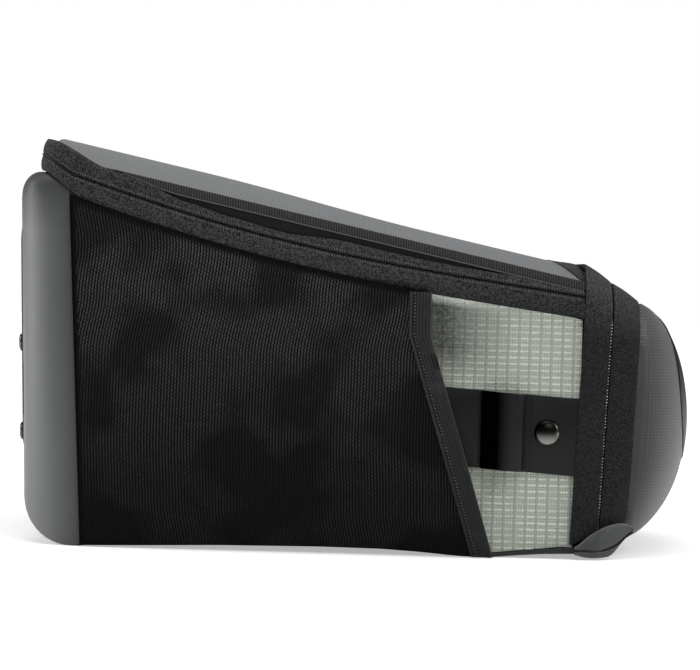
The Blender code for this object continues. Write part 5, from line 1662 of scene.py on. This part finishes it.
def patch_face(height):
    def point(across, up):
        u, v = 2 * across - 1, 2 * up - 1
        y = PATCH_HALF[0] * u * math.sqrt(1 - PATCH_ROUND * v * v)
        z = PATCH_CENTRE_Z + PATCH_HALF[1] * v * math.sqrt(1 - PATCH_ROUND * u * u)
        place, normal, _, _ = dome_tree.ray_cast(Vector((AHEAD, y, z)), Vector((-1, 0, 0)))
        return place + normal * height

    return point


patch = laid(48, 36, patch_face(PATCH_HEIGHT[1]), patch_face(PATCH_HEIGHT[0]))
dome_surface.free()
settle("dome_patch_skin", soften(patch, 0.35, 3), black_film, "front_pocket", "dome_patch", 50)


# Zip end guards: one moulded grey rubber cap over each end of the pocket's zip, a leaf with a raised rim and
# a lip below it. Each is glued to the pocket's half of the zip and stands clear of the base as the pocket
# opens.
GUARD = (
    # x, bottom of the lip, bottom and top of the leaf, distance of the outside from the middle
    (88.6, 2.2, 3.9, 4.6, 88.9),
    (91.0, 1.3, 4.3, 6.6, 88.4),
    (94.0, 0.9, 4.0, 9.4, 87.9),
    (98.6, 0.9, 4.1, 12.2, 87.0),
    (103.2, 1.5, 5.4, 13.7, 83.9),
    (107.0, 6.0, 7.2, 14.1, 79.9),
    (109.6, 8.6, 9.6, 13.7, 76.9),
    (112.4, 10.4, 11.0, 11.9, 73.9),
)
GUARD_CLEAR = 85.6
GUARD_WALL = 4.0
GUARD_SOFTNESS = 1.6
GUARD_ROWS = 22
LIP_ROWS = 8
GROOVE_WIDTH = 0.9
GROOVE_DEPTH = 1.5
RIM_WIDTH = 1.0
RIM_HEIGHT = 0.7

grey_rubber = plain_finish("grey_rubber", (0.06, 0.065, 0.066), 0.5)
grain = cloud(where, 0.5, 3.0, 0.7)
bloom = ranged(cloud(where, 6.0, 3.0, 0.6), 0.4, 0.7)
painted_light_marks = axes(along_weave())  # the rim's share first, the groove's last
colour = tint(bloom, (0.036, 0.039, 0.04), (0.055, 0.058, 0.059))
# Painted highlight and shade: the rim is painted pale and the groove nearly black.
colour = tint(ranged(painted_light_marks[0], 0.2, 1.0, 0.0, 0.5), colour, (0.2, 0.205, 0.205))
colour = tint(ranged(painted_light_marks[2], 0.4, 0.8), colour, (0.003, 0.003, 0.003))
paint(colour, ranged(grain, 0.3, 0.7, 0.44, 0.6), grain, 0.04, 0.5)


def guard_line(x, column):
    """One of the guard's outlines at x, rounded at the table's points."""
    points = [(row[0], row[column]) for row in GUARD]
    return sum(along_table(points, x + step * GUARD_SOFTNESS) for step in (-1, -0.5, 0, 0.5, 1)) / 5


def frame_side(x, z):
    """How far from the middle the front frame's outside lies at (x, z)."""
    share = min(1.0, max(0.0, (x - frame_shift(z) - FRAME_X[0]) / (FRAME_X[1] - FRAME_X[0])))
    ends = (FRAME_HALF_WIDTH, FRAME_BOTTOM, FRAME_LOW_CORNER)
    half, bottom, low = (mix(first, last, share) for first, last in ends)
    under = max(0.0, bottom + low - z)
    return half - low + math.sqrt(max(0.0, low**2 - under**2))


def guard_face(side, outer):
    """The guard's outside, with its lip, groove, leaf and rim, or its inside."""

    def point(across, up):
        x = mix(GUARD[0][0], GUARD[-1][0], (1 - math.cos(math.pi * across)) / 2)
        lip, leaf, top, out = (guard_line(x, column) for column in (1, 2, 3, 4))
        row = up * GUARD_ROWS
        groove = max(lip, leaf - GROOVE_WIDTH)
        if row <= LIP_ROWS:
            z = mix(lip, groove, row / LIP_ROWS)
        elif row <= LIP_ROWS + 2:
            z = mix(groove, leaf, (row - LIP_ROWS) / 2)
        else:
            z = mix(leaf, top, (row - LIP_ROWS - 2) / (GUARD_ROWS - LIP_ROWS - 2))
        clear = GUARD_CLEAR if x < BASE_UNDER[-1][0] + 2 else 0.0
        near = max(frame_side(x, z), clear, out - GUARD_WALL) + GAP
        if not outer:
            return Vector((x, side * near, z))
        out = max(out, near + 1.0)
        if row < LIP_ROWS:
            out -= 0.35 + 0.3 * abs(2 * row / LIP_ROWS - 1) ** 2
        elif row <= LIP_ROWS + 1.5:
            out -= GROOVE_DEPTH
        else:
            out -= 0.3 + RIM_HEIGHT * smooth_step((top - z - 0.4) / RIM_WIDTH)
        return Vector((x, side * max(out, near + 0.25), z))

    return point


def guard_painted_light(point):
    """Where the guard's outside is painted dark in its groove as painted shade, and pale on its rim as a
    painted highlight.
    """
    leaf, top = guard_line(point.x, 2), guard_line(point.x, 3)
    in_groove = leaf - GROOVE_WIDTH - 0.05 < point.z < leaf - 0.05
    on_rim = point.z > top - 0.5 * RIM_WIDTH and abs(point.y) > guard_line(point.x, 4) - 1.3
    return Vector((float(on_rim), point.z, float(in_groove)))


for side, word in SIDES:
    guard = laid(36, GUARD_ROWS, guard_face(side, True), guard_face(side, False), guard_painted_light)
    settle(
        f"zip_end_guard_{word}_skin", soften(guard, 0.25, 2, 60), grey_rubber, "front_pocket",
        f"zip_end_guard_{word}", 60
    )


# Hinge strips: two strips of the zip's knitted tape. One is sewn under the front frame's top and to the lid's
# front edge, and the other joins the base's front edge to the pocket's frame.
LID_STRIP_HALF_WIDTH = 66.0
LID_STRIP_X = (96.6, 93.6, 90.9, 89.9, 89.25, 89.0)
POCKET_STRIP_HALF_WIDTH = 73.5
POCKET_STRIP = ((89.9, 4.15), (93.4, 4.15), (96.6, 4.15), (97.4, 4.05), (98.2, 3.85), (100.6, 3.75))
STRIP_THICK = 0.5
FACING_REAR = 80.0
FACING_FRONT = 89.9
FACING_HALF_WIDTH = 82.8
FACING_CURVE = 2.2
FACING_THICK = (0.3, 0.8)
FACING_FALL = 3.4


def strip_face(line, half_width, lift):
    """A strip from stations (x, height at y), drawn across the bag."""

    def point(across, up):
        y = half_width * (2 * up - 1)
        place = across * (len(line(0.0)) - 1)
        first = min(int(place), len(line(0.0)) - 2)
        (x, z), (far_x, far_z) = line(y)[first], line(y)[first + 1]
        share = place - first
        return Vector((mix(x, far_x, share) + lift[0] * across, y, mix(z, far_z, share) + lift[1]))

    return point


def lid_strip(y):
    """From under the frame's top edge down to the middle of the lid's front edge."""
    fall = (FRAME_TOP[0] - FRAME_TOP[1]) / (FRAME_X[1] - FRAME_X[0])
    seat = FRAME_TOP[0] - FRAME_THICK - GAP - STRIP_THICK
    middle = trim_height(LID_FRONT) + crown(LID_FRONT, y) + TRIM_HEIGHT / 2
    heights = [seat - fall * (x - FRAME_X[0]) for x in LID_STRIP_X[:3]]
    heights += [seat - 0.1, min(seat - 0.3, middle + 0.8), middle - 1.6]
    return list(zip(LID_STRIP_X, heights))


def facing(lift):
    """The strip's wide half, sewn flat over the lid's front edge and curved back towards the middle."""

    def point(across, up):
        y = FACING_HALF_WIDTH * (2 * up - 1)
        rear = mix(FACING_REAR, LID_FRONT, abs(2 * up - 1) ** FACING_CURVE)
        x = mix(rear, FACING_FRONT, across)
        z = trim_height(x) + TRIM_HEIGHT + crown(min(x, LID_FRONT), y)
        if lift:
            z += FACING_THICK[0] + FACING_THICK[1] * smooth_step((x - FACING_REAR) / 10.0)
            return Vector((x, y, z))
        return Vector((x, y, z + 0.04 - FACING_FALL * smooth_step((x - LID_FRONT) / 0.4)))

    return point


facing_tape = soften(laid(14, 60, facing(True), facing(False)), 0.12, 2, 60)
settle("lid_front_facing", facing_tape, zip_tape, "lid", crease=60)
strip = laid(
    20, 44, strip_face(lid_strip, LID_STRIP_HALF_WIDTH, (STRIP_THICK, STRIP_THICK)),
    strip_face(lid_strip, LID_STRIP_HALF_WIDTH, (0.0, 0.0))
)
lid_hinge = settle("lid_hinge_strip", strip, zip_tape, None, "lid_hinge_tape", 60)
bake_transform(lid_hinge)

strip = laid(
    20, 44, strip_face(lambda y: POCKET_STRIP, POCKET_STRIP_HALF_WIDTH, (0.0, 0.0)),
    strip_face(lambda y: POCKET_STRIP, POCKET_STRIP_HALF_WIDTH, (0.0, -0.45))
)
pocket_hinge = settle("pocket_hinge_strip", strip, zip_tape, None, "pocket_hinge_tape", 60)
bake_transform(pocket_hinge)


# Zip sliders: three die-cast sliders in dark nickel, two that meet on the lid's zip and one parked at the low
# end of the pocket's zip. Each has a plate outside the tape, a fin in the slit and a bridge for its pull.
LID_SLIDER_LIFT = 0.5  # from the tape to the plate
FRONT_SLIDER_LIFT = 1.4
SLIDER_PLATE = 1.4
BAR_HEIGHT = 3.4
BAR = 1.0
LID_SLIDER_X = (-8.0, 6.0)
FRONT_SLIDER_Z = 36.0


def slab(outline, low, high):
    """An outline in (x, z), filled and extruded from one y to another."""
    shape = bmesh.new()
    face = shape.faces.new([shape.verts.new((x, low, z)) for x, z in outline])
    made = bmesh.ops.extrude_face_region(shape, geom=[face])["geom"]
    moved = [part for part in made if isinstance(part, bmesh.types.BMVert)]
    bmesh.ops.translate(shape, vec=(0, high - low, 0), verts=moved)
    bmesh.ops.recalc_face_normals(shape, faces=shape.faces)
    return shape


def slider_body(lift, wing, post):
    """A slider with its plate's inner face on y = 0, the zip along its short way and its bridge outside."""
    corners = ((1, -0.55), (1, 0.55), (0.55, 1), (-0.55, 1), (-1, 0.55), (-1, -0.55), (-0.55, -1), (0.55, -1))
    outline = [(wing[0] / 2 * a, wing[1] / 2 * b) for a, b in corners]
    plate = soften(slab(outline, 0.0, SLIDER_PLATE), 0.4, 3)
    raised = slab([(x * 0.72, z * 0.72) for x, z in outline], SLIDER_PLATE - 0.2, SLIDER_PLATE + 0.25)
    bridge_half, height = wing[0] / 2 - 0.7, SLIDER_PLATE + BAR_HEIGHT
    line = [(-bridge_half + BAR / 2, SLIDER_PLATE - 0.3)]
    for i in range(9):
        turn = math.pi * (1 - i / 8)
        reach_x = (bridge_half - BAR / 2 - 1.2) * (1 if turn < math.pi / 2 else -1)
        if turn == math.pi / 2:
            reach_x = 0.0
        line.append((reach_x + 1.2 * math.cos(turn), height - 1.2 + 1.2 * math.sin(turn)))
    line.append((bridge_half - BAR / 2, SLIDER_PLATE - 0.3))
    sections = []
    for i, (x, y) in enumerate(line):
        before, after = line[max(0, i - 1)], line[min(len(line) - 1, i + 1)]
        way = Vector((after[0] - before[0], after[1] - before[1])).normalized()
        ring = arc((0.0, 0.0), (BAR / 2, BAR / 2), 0, 360, 12)[:-1]
        sections.append([(x - way.y * across, y + way.x * across, up) for across, up in ring])
    fin = box((-post[0] / 2, -1.5 - lift, -post[1] / 2), (post[0] / 2, 0.5, post[1] / 2))
    return joined([plate, soften(raised, 0.2), swept(sections), fin])


def set_on_zip(shape, seat, slope, tilt, lift):
    """Moves a slider or a pull from its own drawing to its place on a zip."""
    turn = Matrix.Translation(seat) @ Matrix.Rotation(slope, 4, "Y") @ Matrix.Rotation(-tilt, 4, "Z")
    bmesh.ops.transform(shape, matrix=turn @ Matrix.Translation((0, lift, 0)), verts=shape.verts)
    return shape


taper = (FRAME_HALF_WIDTH[0] - FRAME_HALF_WIDTH[1]) / (FRAME_X[1] - FRAME_X[0])
front_seat = (
    FRAME_ZIP_X + frame_shift(FRONT_SLIDER_Z), FRAME_HALF_WIDTH[0] - taper * (FRAME_ZIP_X - FRAME_X[0]),
    FRONT_SLIDER_Z
)
lid_slope = math.atan(SLOPE)
slider_places = [
    # node, slider's body, pull's body, seat, slope, tilt, lift, wing, post
    (
        f"lid_slider_{word}",
        f"{word}_lid_slider",
        f"{word}_lid_pull",
        (x, HALF_WIDTH + TAPE, zip_height(x, 1)),
        lid_slope,
        0.0,
        LID_SLIDER_LIFT,
        (12.0, 8.5),
        (7.0, 0.6),
    )
    for x, word in zip(LID_SLIDER_X, ("rear", "front"))
]
slider_places.append(
    (
        "front_slider", "pocket_slider", "pocket_pull", front_seat, math.atan(FRAME_LEAN), math.atan(taper),
        FRONT_SLIDER_LIFT, (7.5, 12.0), (0.2, 7.0)
    )
)
for node, body, _, seat, slope, tilt, lift, wing, post in slider_places:
    made = set_on_zip(slider_body(lift, wing, post), seat, slope, tilt, lift)
    settle(f"{node}_skin", made, dark_nickel, body, node, 50)


# Zip pulls: a grey rubber tab moulded over each slider's eye, which swings on the bridge. Ribs across both
# faces give it grip.
PULL_LENGTH = 17.0
PULL_WIDTH = 6.0
PULL_THICK = 1.2
EYE_RADIUS = 1.75
EYE_BORE = 0.95
EYE_HALF_LENGTH = 1.4
GRIP_RIBS = 7
GRIP_PITCH = 1.5
GRIP_START = -7.2

for node, _, body, seat, slope, tilt, lift, _, _ in slider_places:
    axis = SLIDER_PLATE + BAR_HEIGHT
    half = PULL_WIDTH / 2
    tip = arc((0.0, -PULL_LENGTH), (half, half), 180, 180, 12)
    outline = [(-1.4, -1.2), (-half, -4.5), *tip, (half, -4.5), (1.4, -1.2)]
    parts = [soften(slab(outline, axis - PULL_THICK / 2, axis + PULL_THICK / 2), 0.35, 3)]
    for i in range(GRIP_RIBS):
        z = GRIP_START - GRIP_PITCH * i
        for face in (-1, 1):
            parts.append(
                rod((0, axis + face * (PULL_THICK / 2 - 0.05), z), (1, 0, 0), 0.3, PULL_WIDTH - 2.0, 10)
            )
    eye = [(EYE_BORE, -EYE_HALF_LENGTH), (EYE_RADIUS - 0.2, -EYE_HALF_LENGTH)]
    eye += [(EYE_RADIUS, 0.2 - EYE_HALF_LENGTH), (EYE_RADIUS, EYE_HALF_LENGTH - 0.2)]
    eye += [(EYE_RADIUS - 0.2, EYE_HALF_LENGTH), (EYE_BORE, EYE_HALF_LENGTH)]
    parts.append(aimed(turned(eye + eye[:1]), (0, axis, 0), (1, 0, 0)))
    made = set_on_zip(joined(parts), seat, slope, tilt, lift)
    settle(f"{node}_pull_skin", made, grey_rubber, body, f"{node}_pull", 50)
